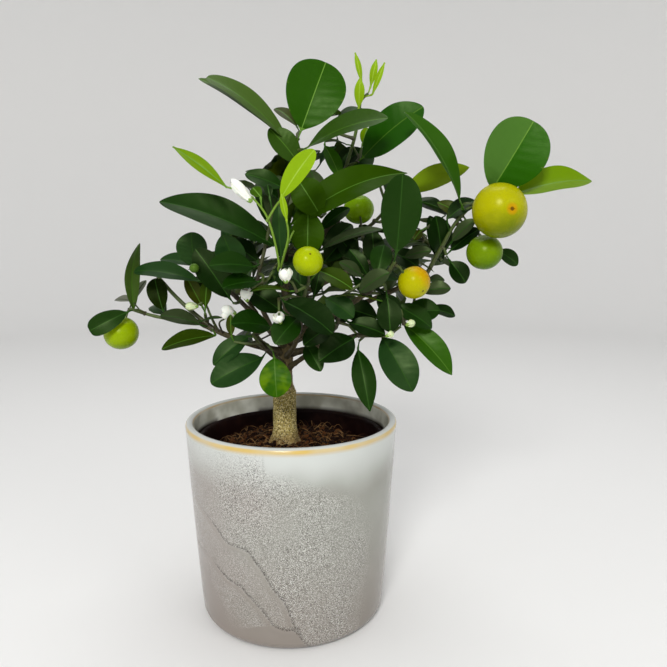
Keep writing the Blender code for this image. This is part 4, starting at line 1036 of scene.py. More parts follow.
def nearest(shoots, point):
    """The place on the shoots that lies nearest to a point, a little way up from each shoot's foot."""
    found = []
    for shoot in shoots:
        skip = max(1, int(3.0 / shoot.long * len(shoot.curve)))
        gaps = np.linalg.norm(shoot.curve - point, axis=-1)
        gaps[:skip] = np.inf
        found.append((gaps.min(), gaps.argmin(), shoot))
    gap, index, shoot = min(found, key=lambda entry: entry[0])
    return gap, shoot.curve[index], shoot


def reach_for(shoots, foot, way, wood):
    """A root for a stalk that ends at foot: on the shoot nearest behind it, or on a new twig from there."""
    gap = nearest(shoots, foot)[0]
    behind, root, shoot = nearest(shoots, foot - way * min(1.2 * gap + 1.5, 12.0))
    gap = np.linalg.norm(foot - root)
    if gap > LONGEST_STALK:
        end = foot - way * SHORTEST_STALK
        middle = (root + end) / 2 + (shoot.way[-1] - way) * (0.10 * gap)
        shoots.append(Shoot(curve_through((root, middle, end), TWIG_STEPS), TWIG_FOOT, TWIG_TIP, wood))
        return shoots[-1].curve[-2]
    return root


def inside(mass, point):
    """Whether a point lies in the ellipsoid that is the mass's own space."""
    return sum(((point[i] - mass.space[i]) / mass.reach[i]) ** 2 for i in range(3)) <= 1.0


def in_frame(points):
    """The photograph's pixels of points and their depth, by the eye's place and its downward turn."""
    away = np.asarray(points) - EYE
    depth = away[..., 1] * math.cos(EYE_DOWN) - away[..., 2] * math.sin(EYE_DOWN)
    up = away[..., 1] * math.sin(EYE_DOWN) + away[..., 2] * math.cos(EYE_DOWN)
    return FRAME / 2 + FRAME * away[..., 0] / depth, FRAME / 2 - FRAME * up / depth, depth


def spots_on(blade):
    """A few spots spread over a blade, by which its room is judged."""
    side = np.cross(blade.way, unit(blade.face - blade.way * blade.way.dot(blade.face)))
    along, across = np.meshgrid((0.1, 0.28, 0.46, 0.64, 0.82, 1.0), (-0.36, 0.0, 0.36))
    return (blade.foot + blade.way * (along.ravel() * blade.long)[:, None]
            + side * (across.ravel() * blade.wide)[:, None])


class Crown:
    """All that has grown so far, and what of it the photograph shows."""

    def __init__(self):
        self.spots = np.zeros((0, 3))
        self.shown = np.zeros((0, 3))
        self.balls = []

    def take(self, blade, shown):
        spots = spots_on(blade)
        self.spots = np.vstack([self.spots, spots])
        if shown:
            self.shown = np.vstack([self.shown, np.column_stack(in_frame(spots))])

    def take_ball(self, ball):
        self.balls.append((np.array(ball.middle, float), ball.radius))
        spokes = np.array([heading_way(0, rise) for rise in range(0, 360, 45)])
        rim = np.array(ball.middle) + spokes * ball.radius * 0.7
        self.shown = np.vstack([self.shown, np.column_stack(in_frame(rim))])

    def has_room(self, blade):
        """Whether a leaf has space, hides nothing that the photograph shows, and leaves its sky open."""
        spots = spots_on(blade)
        if np.linalg.norm(self.spots[:, None] - spots, axis=-1).min() < LEAF_CLEAR:
            return False
        for middle, radius in self.balls:
            if np.linalg.norm(spots - middle, axis=-1).min() < radius + BALL_CLEAR:
                return False
        x, y, depth = in_frame(spots)
        for mid_x, mid_y, reach_x, reach_y in SKY:
            if (((x - mid_x) / reach_x) ** 2 + ((y - mid_y) / reach_y) ** 2).min() < 1:
                return False
        gap = np.hypot(self.shown[:, None, 0] - x, self.shown[:, None, 1] - y)
        return not ((gap < SHOWN_CLEAR) & (self.shown[:, None, 2] > depth + BALL_CLEAR)).any()

    def crosses_fruit(self, curve):
        """Whether a twig passes in front of a fruit or bud that the photograph shows."""
        x, y, depth = in_frame(curve)
        for middle, radius in self.balls:
            at_x, at_y, away = in_frame(middle)
            near = np.hypot(x - at_x, y - at_y) < FRAME * radius / away + 1
            if (near & (depth < away)).any():
                return True
        return False


def stem_of(mass):
    """The stem of a mass: straight on from its bough's tip, and then along its own route."""
    bough = curve_through(next(limb.route for limb in LIMBS if limb.name == mass.bough), BOUGH_STEPS)
    along = unit(bough[-1] - bough[-2])
    rest = curve_through([bough[-1] + along * STRAIGHT_START, *mass.route], STEM_STEPS)
    tip = YOUNG_TIP if mass.wood == "lime" else STEM_TIP
    return Shoot(np.vstack([bough[-1] + along * GAP, rest]), STEM_FOOT, tip, mass.wood)


def placed_by_hand(mass, shoots, crown):
    """The leaves, fruit and buds that the photograph shows, with the twigs and stalks that they need."""
    blades, stalks = [], []
    draw = random.Random(mass.seed + HAND_SEED)
    wood = "lime" if mass.wood == "lime" else "green"
    for leaf in mass.leaves:
        way, face = heading_way(leaf.heading, leaf.rise), heading_way(leaf.side, 90.0 - leaf.lean)
        foot = np.array(leaf.foot, float)
        root = reach_for(shoots, foot, way, wood)
        blades.append(Blade(root, foot, way, face, leaf.long, leaf.wide, leaf.tone, leaf.point, leaf.fold,
                            leaf.droop, LEAF_ARCH, draw.uniform(-0.2, 0.2), draw.uniform(0.02, 0.05)))
        crown.take(blades[-1], True)
    for ball in mass.fruit + mass.buds:
        middle = np.array(ball.middle, float)
        gap, root, shoot = nearest(shoots, middle + UP * ball.radius)
        end = middle + unit(root - middle) * (ball.radius * 0.8)
        bend = (root + end) / 2 + UP * (0.12 * gap)
        stalks.append((ball, Shoot(curve_through((root, bend, end), TWIG_STEPS), TWIG_TIP, STALK_TIP, wood)))
        crown.take_ball(ball)
    return blades, stalks


def bent_twig(root, way, long, bend, foot, tip):
    """A green twig that leaves its root one way and bends upward towards its tip."""
    route = (root, root + way * (0.5 * long), root + way * long + UP * (bend * long))
    return Shoot(curve_through(route, TWIG_STEPS), foot, tip, "green")


def common_leaf(root, foot, way, face, long, wide, draw):
    """A leaf in the thick of the crown: mostly dark, now and then lighter, a few grey with a painted sheen,
    its shape drawn from ranges.
    """
    tone = draw.choices(("deep", "dark", "blue", "mid", "olive_deep", "grey"), (34, 34, 12, 10, 6, 4))[0]
    point, fold, droop = draw.uniform(0.6, 0.9), draw.uniform(0.12, 0.3), draw.uniform(0.0, 0.12)
    return Blade(root, foot, way, face, long, wide, tone, point, fold, droop, LEAF_ARCH,
                 draw.uniform(-0.5, 0.5), draw.uniform(0.02, 0.07))


def grown_by_rule(mass, shoots, crown):
    """Side twigs and leaves by the seeded rule of the source.

    Each side twig leaves the stem a golden angle round from the last, and bends upward. Each leaf does
    the same on its shoot, leaning along it, and turns its face up and away from the crown's heart.
    """
    draw = random.Random(mass.seed)
    looks = random.Random(mass.seed + LOOK_SEED)
    blades = []
    start = draw.uniform(0.0, math.tau)
    for number in range(mass.twigs):
        root, along = shoots[0].at((number + 0.8) / (mass.twigs + 0.6))
        way = unit(around(along, start + number * GOLDEN_ANGLE) + along * SIDE_LEAN + UP * SIDE_LIFT)
        twig = bent_twig(root, way, SIDE_TWIG * draw.uniform(*SIDE_RANGE), SIDE_BEND, TWIG_FOOT, TWIG_TIP)
        if not crown.crosses_fruit(twig.curve):
            shoots.append(twig)
    for shoot in (shoot for shoot in shoots if not shoot.bare):
        turn = draw.uniform(0.0, math.tau)
        count = max(2, round(shoot.long / LEAF_EVERY))
        for number in range(count):
            root, along = shoot.at((number + 0.9) / count)
            lean = LEAF_LEAN + LEAF_LEAN_MORE * (number + 1) / count
            way = unit(around(along, turn + number * GOLDEN_ANGLE) + along * lean)
            long = draw.uniform(*LEAF_LONG)
            wide = long * draw.uniform(*LEAF_SLIM)
            foot = root + way * draw.uniform(*LEAF_STALK)
            face = UP + unit(foot - CROWN_HEART) * draw.uniform(*LEAF_OUTWARD)
            blade = common_leaf(root, foot, way, face, long, wide, looks)
            if inside(mass, foot) and inside(mass, foot + way * (0.8 * long)) and crown.has_room(blade):
                crown.take(blade, False)
                blades.append(blade)
    return blades


def finer_twigs(mass, shoots, crown):
    """The same rule once more: finer twigs on each shoot, with smaller leaves out to the mass's reach."""
    draw = random.Random(mass.seed + FINE_SEED)
    blades, fine = [], []
    for shoot in (shoot for shoot in shoots if not shoot.bare):
        turn = draw.uniform(0.0, math.tau)
        count = max(1, round(shoot.long / FINE_EVERY))
        for number in range(count):
            root, along = shoot.at((number + 0.7) / count)
            way = unit(around(along, turn + number * GOLDEN_ANGLE) + along * FINE_LEAN + UP * FINE_LIFT)
            twig = bent_twig(root, way, draw.uniform(*FINE_LONG), FINE_BEND, FINE_FOOT, FINE_TIP)
            grown = []
            for leaf in range(FINE_LEAVES):
                leaf_root, leaf_along = twig.at((leaf + 1.0) / FINE_LEAVES)
                lean = FINE_LEAF_LEAN + FINE_LEAF_LEAN_MORE * leaf
                leaf_way = unit(around(leaf_along, turn + leaf * GOLDEN_ANGLE) + leaf_along * lean)
                leaf_long = draw.uniform(*FINE_LEAF_LONG)
                foot = leaf_root + leaf_way * draw.uniform(*FINE_LEAF_STALK)
                face = UP + unit(foot - CROWN_HEART) * draw.uniform(*FINE_OUTWARD)
                wide = leaf_long * draw.uniform(*FINE_LEAF_SLIM)
                blade = common_leaf(leaf_root, foot, leaf_way, face, leaf_long, wide, draw)
                if inside(mass, foot + leaf_way * (0.9 * leaf_long)) and crown.has_room(blade):
                    crown.take(blade, False)
                    grown.append(blade)
            if grown and not crown.crosses_fruit(twig.curve):
                fine.append(twig)
                blades += grown
    return blades, fine


def cut_back(shoot, roots):
    """The shoot as far as the last leaf, fruit or twig that it bears, or None where it bears none."""
    borne = np.linalg.norm(roots[:, None] - shoot.curve, axis=-1).min(axis=0) < 0.01
    last = int(np.nonzero(borne)[0].max(initial=0))
    return Shoot(shoot.curve[:last + 1], shoot.foot, shoot.tip, shoot.wood) if last > 1 else None


crown = Crown()
shoots_of, shown_blades, other_blades, hung, fine_shoots = {}, [], [], [], []
for mass in MASSES:
    shoots_of[mass.name] = [stem_of(mass)]
    for sprig in mass.sprigs:
        route = curve_through(sprig.route, STEM_STEPS)
        shoots_of[mass.name].append(Shoot(route, sprig.foot, sprig.tip, sprig.wood, True))
    blades, stalks = placed_by_hand(mass, shoots_of[mass.name], crown)
    shown_blades += blades
    hung += stalks
for mass in MASSES:
    other_blades += grown_by_rule(mass, shoots_of[mass.name], crown)
for mass in MASSES:
    blades, fine = finer_twigs(mass, shoots_of[mass.name], crown)
    other_blades += blades
    fine_shoots += fine
leaf_roots = np.array([blade.root for blade in shown_blades + other_blades])
hung_roots = [stalk.curve[0] for ball, stalk in hung]
fine_twigs = [twig for twig in (cut_back(twig, leaf_roots) for twig in fine_shoots) if twig]
roots = np.vstack([leaf_roots, *hung_roots, *(twig.curve[0] for twig in fine_twigs)])
stems = [shoots_of[mass.name][0] for mass in MASSES]
side_twigs = [twig for mass in MASSES for twig in shoots_of[mass.name][1:]]
side_twigs = [twig for twig in (twig if twig.bare else cut_back(twig, roots) for twig in side_twigs) if twig]

YOUTH = {"brown": (0.0, 0.7), "green": (0.35, 1.1), "fresh": (0.9, 1.4), "lime": (1.5, 2.0)}
twig_bark = Finish("twig_bark", paint(60, 56, 30), 0.5)
youth = twig_bark.mark("youth") + 0.5 * twig_bark.mottled(3.0, 3.0) - 0.25
twig_colour = twig_bark.blend(twig_bark.rise(youth, 0.2, 0.9), paint(52, 43, 26), paint(66, 82, 28))
twig_colour = twig_bark.blend(twig_bark.rise(youth, 1.1, 1.8), twig_colour, paint(106, 140, 34))
twig_bark.feed("Base Color", twig_colour)
twig_bark.feed("Roughness", 0.42 + 0.25 * twig_bark.mottled(1.2, 2.0))
twig_bark.relief(twig_bark.mottled(0.5, 2.0), 0.08)


def shoot_shell(group, rows, sides, flare, begin=None):
    """Closed tubes over shoots: their radii taper evenly, and swell at the foot and at each node."""
    curves = np.stack([curve_through(shoot.bends, rows - 1) for shoot in group])
    share = np.linspace(0, 1, rows)
    foot, tip = (np.array([[getattr(shoot, end)] for shoot in group]) for end in ("foot", "tip"))
    if begin is not None:
        foot = begin[:, None]
        curves[:, 0] -= unit(curves[:, 1] - curves[:, 0]) * 3.0
    radii = (foot + (tip - foot) * share) * (1 + flare * np.exp(-share * rows / 1.2))
    radii = radii * (1 + 0.12 * np.maximum(np.cos(share * rows * 1.7), 0) ** 4)
    ends = np.array([YOUTH[shoot.wood] for shoot in group])
    age = ends[:, :1] + (ends[:, 1:] - ends[:, :1]) * share
    marks = {"youth": np.repeat(age[..., None], sides, axis=2)}
    return Shell(tube_rings(curves, radii, sides), None, 0, marks)


bough_tips = {limb.name: BOUGH_SLIM * limb.tip for limb in LIMBS}
stem_feet = np.array([0.75 if mass.wood == "lime" else bough_tips[mass.bough] for mass in MASSES])
twig_shells = [shoot_shell(stems, 26, 10, 0.0, stem_feet), shoot_shell(side_twigs, 10, 7, 0.35),
               shoot_shell(fine_twigs, 6, 5, 0.35), shoot_shell([stalk for ball, stalk in hung], 9, 7, 0.3)]
make_piece("twigs", twig_shells, [twig_bark], [mass.name for mass in MASSES], sharp=80.0)

# Leaves
# Oval, leathery citrus leaves on short winged stalks: waxy dark green above with a fine pale midrib, duller
# and greyer below, and lime while they are young. Each blade is folded a little along its midrib.
# Some leaves are painted lighter and greyer where they catch a sheen, and one only on its left half.
RIB_HALF = 0.32
RIB_DEEP = 0.45
BLADE_HALF_THICK = 0.16
STALK_HALF = 0.6
VEINS = 9
VEIN_DEEP = 0.3
VEIN_SLANT = 0.14
# The power of t at a blade's foot: so much, and so great a share of the power at its tip
FOOT_EVEN = 0.42
FOOT_FOLLOWS = 0.6
# The rows between one side vein and the next, as shares of the way, on the leaves that are wider than this
VEIN_ROWS = (0.0, 0.25, 0.5, 0.75)
VEINED_WIDE = 17.5
# The colours of each tone: a leaf's upper side, midrib and underside, and its left half where that differs,
# which is a painted sheen
TONES = {name: (name, rib, under) for rib, under, names in (
    ("rib_dark", "under_dull", ("deep", "dark", "blue", "olive_dark")),
    ("rib_green", "under_dull", ("sheen", "pale_sheen", "glossy")),
    ("rib_green", "under_green", ("mid", "mottled")),
    ("rib_green", "under_olive", ("olive", "olive_deep", "olive_brown")),
    ("rib_pale", "under_green", ("bright",)),
    ("rib_pale", "under_lime", ("lime", "leaf_lime")),
    ("rib_young", "under_young", ("young",)),
    ("rib_dark", "under_grey", ("grey",))) for name in names}
TONES["fresh"] = ("fresh", "rib_pale", "under_green", "fresh_sheen")
TONES["olive_mid"] = ("pale_sheen", "rib_green", "under_olive")
TONES["lime_under"] = ("mid", "rib_green", "under_lime")
TONES["pale_grey"] = ("pale_grey", "grey", "pale_grey")
# The sheen, pale_sheen, fresh_sheen and grey tones are painted sheen: lighter, greyer greens where a glossy
# leaf reflects the light
LEAF_COLOURS = {
    "deep": (15, 34, 8), "dark": (22, 47, 9), "blue": (30, 55, 25), "sheen": (44, 69, 18),
    "pale_sheen": (62, 84, 34), "glossy": (30, 70, 8), "mid": (42, 78, 8), "fresh": (36, 80, 0),
    "fresh_sheen": (66, 102, 40), "pale_grey": (96, 98, 86), "olive_dark": (24, 34, 6),
    "bright": (36, 72, 2), "olive": (42, 66, 0), "olive_deep": (42, 58, 4), "olive_brown": (50, 56, 12),
    "lime": (96, 126, 8), "leaf_lime": (50, 78, 4), "young": (124, 156, 24), "grey": (48, 58, 36),
    "mottled": (42, 80, 4), "rib_dark": (38, 68, 24), "rib_green": (66, 100, 32), "rib_pale": (90, 126, 48),
    "rib_young": (136, 166, 48), "under_dull": (52, 68, 32), "under_green": (70, 94, 30),
    "under_olive": (70, 84, 12), "under_lime": (104, 128, 22), "under_young": (130, 160, 34),
    "under_grey": (82, 88, 66),
}
MOTTLED_YELLOW = (96, 128, 4)
# How strongly a tone shines, where it isn't as dull undersides or as upper sides do
LEAF_SHINE = {"olive": 0.05, "olive_deep": 0.1, "olive_dark": 0.06, "bright": 0.12, "fresh": 0.1,
              "mottled": 0.1, "lime": 0.1, "leaf_lime": 0.1, "young": 0.1}
DULL_SHINE = 0.1
UPPER_SHINE = 0.18
LEAF_SHINE_TINT = (0.72, 1.0, 0.42, 1.0)
TOP_ACROSS = (-0.85, -0.6, -0.3, -0.05, 0.05, 0.3, 0.6, 0.85)
UNDER_ACROSS = (0.85, 0.6, 0.3, 0.0, -0.3, -0.6, -0.85)
FEW_TOP_ACROSS = (-0.55, -0.05, 0.05, 0.55)
FEW_UNDER_ACROSS = (0.0,)


def row_shares(rows):
    """Where the rings of a blade lie: evenly from its foot, or in the steps from vein to vein."""
    if rows == "veined":
        return ((np.arange(VEINS)[:, None] + np.array(VEIN_ROWS)) / VEINS).ravel()
    return np.linspace(0.0, 1.0, rows + 1)[:-1]


def blade_rings(blades, rows, top, under):
    """Rings of many leaves or petals at once, from each root up its stalk and along its blade.

    The midline runs straight along the way, arched by 4t(1-t) and drooping by the cube of t. The half width
    is t to a power times (1-t) to the tip's power, over its own greatest value. Across the blade, v from -1
    to 1, the surface rises with the fold and the size of v, waves at the edge, and swells by the root of
    1-v squared to each side. The rings slant forward from the midrib by the size of v times 4t(1-t), as side
    veins do, so that each vein is one row of faces, and the blade puffs up by a sine from one to the next.
    """
    root, foot, way, face = (np.array([getattr(blade, part) for blade in blades])
                             for part in ("root", "foot", "way", "face"))
    long, wide, point, fold, droop, arch, twist, wave = (
        np.array([getattr(blade, part) for blade in blades])[:, None]
        for part in ("long", "wide", "point", "fold", "droop", "arch", "twist", "wave"))
    normal = unit(face - way * np.sum(face * way, axis=-1, keepdims=True))
    side = np.cross(way, normal)

    def midline(t):
        bend = (arch * 4 * t * (1 - t) - droop * t ** 3) * long
        return foot[:, None] + way[:, None] * (long * t)[..., None] + normal[:, None] * bend[..., None]

    t = 1 - (1 - row_shares(rows)[None, 1:]) ** 1.25
    t = np.concatenate([[[0.015]], t], axis=1)
    stalk = np.array([0.12, 0.5, 0.9])[None, :, None]
    line = np.concatenate([root[:, None] + (foot - root)[:, None] * stalk, midline(t)], axis=1)
    base = FOOT_EVEN + FOOT_FOLLOWS * point
    widest = (base / (base + point)) ** base * (point / (base + point)) ** point
    narrow = np.array([0.8, 0.75, 1.3]) * STALK_HALF
    place = np.concatenate([np.zeros((1, 3)), t], axis=1)
    v = np.array([1.0, *under, -1.0, *top])
    slant = VEIN_SLANT * np.abs(v) * (4 * place * (1 - place))[..., None]
    reach = place[..., None] + slant
    half = (wide / 2)[..., None] * reach ** base[..., None] * (1 - reach) ** point[..., None]
    half = np.maximum(half / widest[..., None], STALK_HALF)
    half[:, :3] = narrow[None, :, None]
    tangent = unit(np.gradient(line, axis=1))
    spin = (twist * place)[..., None]
    across = side[:, None] * np.cos(spin) + normal[:, None] * np.sin(spin)
    square = across - tangent * np.sum(across * tangent, axis=-1, keepdims=True)
    spare = np.cross(tangent, normal[:, None])
    across = unit(np.where(np.linalg.norm(square, axis=-1, keepdims=True) > 0.3, square, spare))
    over = np.cross(across, tangent)

    face_side = np.array([0.0] + [-1.0] * len(under) + [0.0] + [1.0] * len(top))
    rib = (face_side == 1) & (np.abs(v) < 0.1)
    v = np.broadcast_to(v, half.shape).copy()
    v[..., rib] = np.sign(v[..., rib]) * np.clip(RIB_HALF / half[..., rib], 0, 0.3)
    blade_part = (place > 0)[..., None]
    swell = np.where(blade_part, BLADE_HALF_THICK, 0.8 * STALK_HALF)
    lift = np.sqrt(np.maximum(1 - v * v, 0)) * face_side * swell
    keel = (face_side == -1) & (np.abs(v) < 0.01)
    lift = lift - keel * RIB_DEEP * (1 - place)[..., None] * blade_part
    lift = lift - rib * 0.10 * blade_part
    bent = half * fold[..., None] * np.abs(v) ** 1.3 * (1 - 0.5 * place[..., None])
    ripple = np.sin(math.tau * (1.6 * reach + 0.2 * np.sign(v)) + 40 * wave[..., None])
    lift = lift + blade_part * (bent + wave[..., None] * half * v * v * ripple)
    if rows == "veined":
        share = np.concatenate([np.zeros(3), row_shares(rows) * VEINS % 1])[None, :, None]
        puff = (np.sin(math.pi * share) - 0.5) * np.minimum(6 * np.abs(v) * (1 - np.abs(v)), 1)
        lift = lift + blade_part * VEIN_DEEP * puff * (wide[..., None] / 26) * (1 - place[..., None])
    forward = slant * long[..., None]
    rings = (line[:, :, None] + across[:, :, None] * (v * half)[..., None]
             + over[:, :, None] * lift[..., None] + tangent[:, :, None] * forward[..., None])
    return rings, np.stack([root, midline(np.ones((1, 1)))[:, 0]], axis=1)


def blade_finishes(blades, rows, top, under, names):
    """The number of the finish on each face: on the underside, each half of the upper side, the left half
    with a painted sheen on some tones, and the midrib.
    """
    corners = 2 + len(under) + len(top)
    given = np.empty((len(blades), len(row_shares(rows)) + 4, corners), int)
    tones = [TONES[blade.tone] for blade in blades]
    upper, rib, lower = (np.array([names.index(tone[part]) for tone in tones]) for part in range(3))
    left = np.array([names.index(tone[3 if len(tone) > 3 else 0]) for tone in tones])
    given[:] = upper[:, None, None]
    given[:, :, len(under) + 1:len(under) + 1 + len(top) // 2] = left[:, None, None]
    given[:, :, :len(under) + 1] = lower[:, None, None]
    given[:, :, len(under) + 1 + len(top) // 2] = rib[:, None]
    given[:, :4] = rib[:, None, None]
    return given


leaf_names = list(LEAF_COLOURS)
leaf_finishes = []
for name, colour in LEAF_COLOURS.items():
    dull = name.startswith("under")
    shine = LEAF_SHINE.get(name, DULL_SHINE if dull else UPPER_SHINE)
    leaf_finish = Finish("leaf_" + name, paint(*colour), 0.4, {"Specular IOR Level": shine,
                                                               "Specular Tint": LEAF_SHINE_TINT})
    if name == "mottled":
        blotch = 0.7 * leaf_finish.rise(leaf_finish.mottled(10.0, 2.0), 0.42, 0.72)
        leaf_finish.feed("Base Color", leaf_finish.blend(blotch, paint(*colour), paint(*MOTTLED_YELLOW)))
    leaf_finish.feed("Roughness", (0.5 if dull else 0.3) + 0.18 * leaf_finish.mottled(4.0, 2.0))
    leaf_finish.relief(leaf_finish.mottled(1.1, 2.0), 0.05, 0.7)
    leaf_finishes.append(leaf_finish)
wide_blades = [blade for blade in shown_blades if blade.wide > VEINED_WIDE]
slim_blades = [blade for blade in shown_blades if blade.wide <= VEINED_WIDE]
leaf_groups = ((wide_blades, "veined", TOP_ACROSS, UNDER_ACROSS),
               (slim_blades, 16, TOP_ACROSS, UNDER_ACROSS),
               (other_blades, 5, FEW_TOP_ACROSS, FEW_UNDER_ACROSS))
leaf_shells = []
for blades, rows, top, under in leaf_groups:
    rings, poles = blade_rings(blades, rows, top, under)
    leaf_shells.append(Shell(rings, poles, blade_finishes(blades, rows, top, under, leaf_names)))
make_piece("leaves", leaf_shells, leaf_finishes, [mass.name for mass in MASSES])

# Fruit
# Small round oranges, a little flattened, with a fine pored glossy peel. They ripen from green through lime
# and lemon to gold, one with an orange flush on one side, and one shows the scar where its flower stood.
# The others are painted darker towards their undersides: painted shade, on the gold one partly its own green.
FRUIT_AROUND = 64
FRUIT_ROWS = 40
FRUIT_FLAT = 0.95
PEEL_SHINE = {"Coat Weight": 0.03, "Coat Roughness": 0.2, "Specular IOR Level": 0.16,
              "Specular Tint": (1.0, 1.0, 0.4, 1.0)}
GOLDEN_EYE = paint(186, 130, 8)
SCAR = paint(74, 48, 16)


class Peel(NamedTuple):
    """The colour of most of a fruit, its flush, which on most fruit is a painted shade, darker underneath,
    and the side that this is on, and where its eye is.
    """
    main: tuple
    flush: tuple
    flush_and_shade_way: tuple
    eye: tuple


# Each peel's flush: on the orange its own colour towards the top, on the others a painted shade towards the
# underside
PEELS = {
    "gold": Peel(paint(160, 159, 0), paint(98, 112, 0), (0.1, -0.3, -0.95), (0.24, -0.97, 0.04)),
    "leaf_green": Peel(paint(100, 128, 2), paint(72, 106, 4), (0.3, 0.0, -0.9), (0.2, 0.3, -0.9)),
    "orange": Peel(paint(164, 161, 0), paint(190, 142, 4), (0.7, 0.0, 0.7), (0.5, -0.7, -0.5)),
    "lemon": Peel(paint(152, 167, 0), paint(122, 140, 2), (-0.3, 0.0, -0.9), (0.2, -0.8, 0.55)),
    "green": Peel(paint(122, 162, 20), paint(90, 132, 18), (0.0, 0.4, -0.9), (0.0, 0.3, -0.9)),
    "lime_green": Peel(paint(132, 156, 8), paint(100, 126, 8), (0.2, 0.2, -0.9), (0.1, 0.1, -1.0)),
    "fruitlet": Peel(paint(72, 100, 36), paint(56, 84, 30), (0.0, 0.0, -1.0), (0.0, -0.5, -0.8)),
}


def ball_rings(middle, radius, axis):
    """Rings of a fruit from its eye to its stalk, with their middles on its axis.

    At even polar angles, a ring's radius is the fruit's times their sine, and its middle lies the fruit's
    radius times their cosine along the axis, flattened, with a bell-shaped dimple at each end.
    """
    polar = np.linspace(0, math.pi, FRUIT_ROWS + 1)[1:-1]
    run = -np.cos(polar) * FRUIT_FLAT
    dimple = 0.10 * np.exp(-((math.pi - polar) / 0.28) ** 2) + 0.03 * np.exp(-(polar / 0.2) ** 2)
    curve = middle + axis * (radius * (run - np.sign(run) * dimple))[:, None]
    return tube_rings(curve[None], (radius * np.sin(polar))[None], FRUIT_AROUND), curve


fruit_finishes, fruit_shells = [], []
for ball, stalk in hung:
    if ball.look not in PEELS:
        continue
    peel = PEELS[ball.look]
    middle = np.array(ball.middle, float)
    eye = unit(np.array(peel.eye))
    skin = Finish("peel_" + ball.look, peel.main, 0.34, PEEL_SHINE)
    spoke = skin.node("ShaderNodeVectorMath", {"operation": "SUBTRACT"}, (skin.place(), tuple(middle * MM)))
    spoke = skin.node("ShaderNodeVectorMath", {"operation": "NORMALIZE"}, (spoke,))
    to_flush_and_shade, to_eye = (
        skin.node("ShaderNodeVectorMath", {"operation": "DOT_PRODUCT"}, (spoke, tuple(way)), "Value")
        for way in (unit(np.array(peel.flush_and_shade_way)), eye))
    patch = skin.mottled(0.35 * ball.radius, 2.0)
    pores = skin.rise(skin.cells(0.85), 0.35, 0.1)
    # The flush side: the orange's own flush, and on the other fruit a painted shade on the underside
    skin_colour = skin.blend(skin.rise(to_flush_and_shade + 0.5 * patch, 0.25, 1.25), peel.main, peel.flush)
    skin_colour = skin.blend(0.25 * pores, skin_colour, tuple(0.55 * part for part in peel.main))
    if ball.look == "gold":
        skin_colour = skin.blend(0.8 * skin.rise(to_eye, 0.96, 0.998), skin_colour, GOLDEN_EYE)
    skin_colour = skin.blend(0.85 * skin.rise(to_eye, 0.9955, 0.9985), skin_colour, SCAR)
    skin.feed("Base Color", skin_colour)
    skin.feed("Roughness", 0.2 + 0.14 * patch)
    skin.relief(0.4 * skin.mottled(2.4, 2.0) - pores, 0.10, 0.6)
    rings, axis_line = ball_rings(middle, ball.radius, -eye)
    relief = 1 + 0.008 * mottle(rings, 0.5 * ball.radius, 61)
    rings = middle + (rings - middle) * relief[..., None]
    poles = np.stack([axis_line[:1], axis_line[-1:]], axis=1)
    fruit_shells.append(Shell(rings, poles, len(fruit_finishes)))
    fruit_finishes.append(skin)
make_piece("fruit", fruit_shells, fruit_finishes, sharp=80.0)

# Blossom
# Citrus flowers in bud and opening: five thick waxy white petals from a small green cup on a short stalk,
# with a ring of stamens tipped in yellow where the flower is open.
# Each kind of bud: its heading and rise, how far its petals spread, and how long they are beside its radius
BUDS = {"long": (190, 46, 0.0, 4.9), "tulip": (265, 80, 0.2, 2.2), "star": (235, 60, 0.28, 2.1),
        "open": (190, 12, 0.25, 2.3), "green_bud": (15, 20, 0.0, 2.2), "pale": (185, 3, 0.1, 3.0)}
OPEN_SPREAD = 0.22
PETALS = 5
STAMENS = 12
petal_tones = {"petal": paint(236, 236, 224), "petal_green": paint(206, 218, 168),
               "cup": paint(120, 154, 60), "anther": paint(222, 190, 70)}
TONES.update({name: (name, name, name) for name in ("petal", "petal_green")})
petals, cups, stamens = [], [], []
bloom = random.Random(81)
for ball, stalk in hung:
    if ball.look not in BUDS:
        continue
    middle = np.array(ball.middle, float)
    heading, rise, spread, stretch = BUDS[ball.look]
    axis = heading_way(heading, rise)
    base = middle - axis * (0.7 * ball.radius)
    long = stretch * ball.radius * 0.9
    tone = "petal_green" if ball.look in ("green_bud", "pale") else "petal"
    for number in range(PETALS):
        outward = around(axis, number * math.tau / PETALS + bloom.uniform(-0.12, 0.12))
        way = unit(axis + outward * (0.35 * spread + bloom.uniform(-0.04, 0.06)))
        petals.append(Blade(base, base + outward * (0.3 * ball.radius) + axis * 0.3, way, -outward,
                            long * bloom.uniform(0.92, 1.04), (1.5 - 0.3 * spread) * ball.radius, tone, 0.5,
                            0.5 - 0.3 * spread, 0.6 * spread, (-0.55 - 0.3 * spread) * ball.radius / long,
                            bloom.uniform(-0.15, 0.15), 0.03))
    cups.append((base - axis * 1.2, base + axis * (0.5 * ball.radius), 0.5 * ball.radius))
    if spread > OPEN_SPREAD:
        for number in range(STAMENS):
            outward = around(axis, number * math.tau / STAMENS)
            stamens.append((base, base + unit(axis + 0.2 * outward) * (0.6 * long)))
petal_names = list(petal_tones)
petal_finishes = []
for name, colour in petal_tones.items():
    petal_finish = Finish(name, colour, 0.5, {"Subsurface Weight": 0.1, "Subsurface Scale": 0.0015})
    petal_finish.feed("Base Color", petal_finish.blend(0.5 * petal_finish.mottled(1.5, 2.0), colour,
                                                       tuple(0.8 * part for part in colour)))
    petal_finish.feed("Roughness", 0.42 + 0.15 * petal_finish.mottled(1.0, 2.0))
    petal_finish.relief(petal_finish.mottled(0.6, 2.0), 0.05)
    petal_finishes.append(petal_finish)
petal_rings, petal_poles = blade_rings(petals, 10, FEW_TOP_ACROSS, FEW_UNDER_ACROSS)
cup_share = np.array([0.0, 0.2, 0.5, 0.8, 1.0])
cup_curves = np.stack([foot + (tip - foot) * cup_share[:, None] for foot, tip, radius in cups])
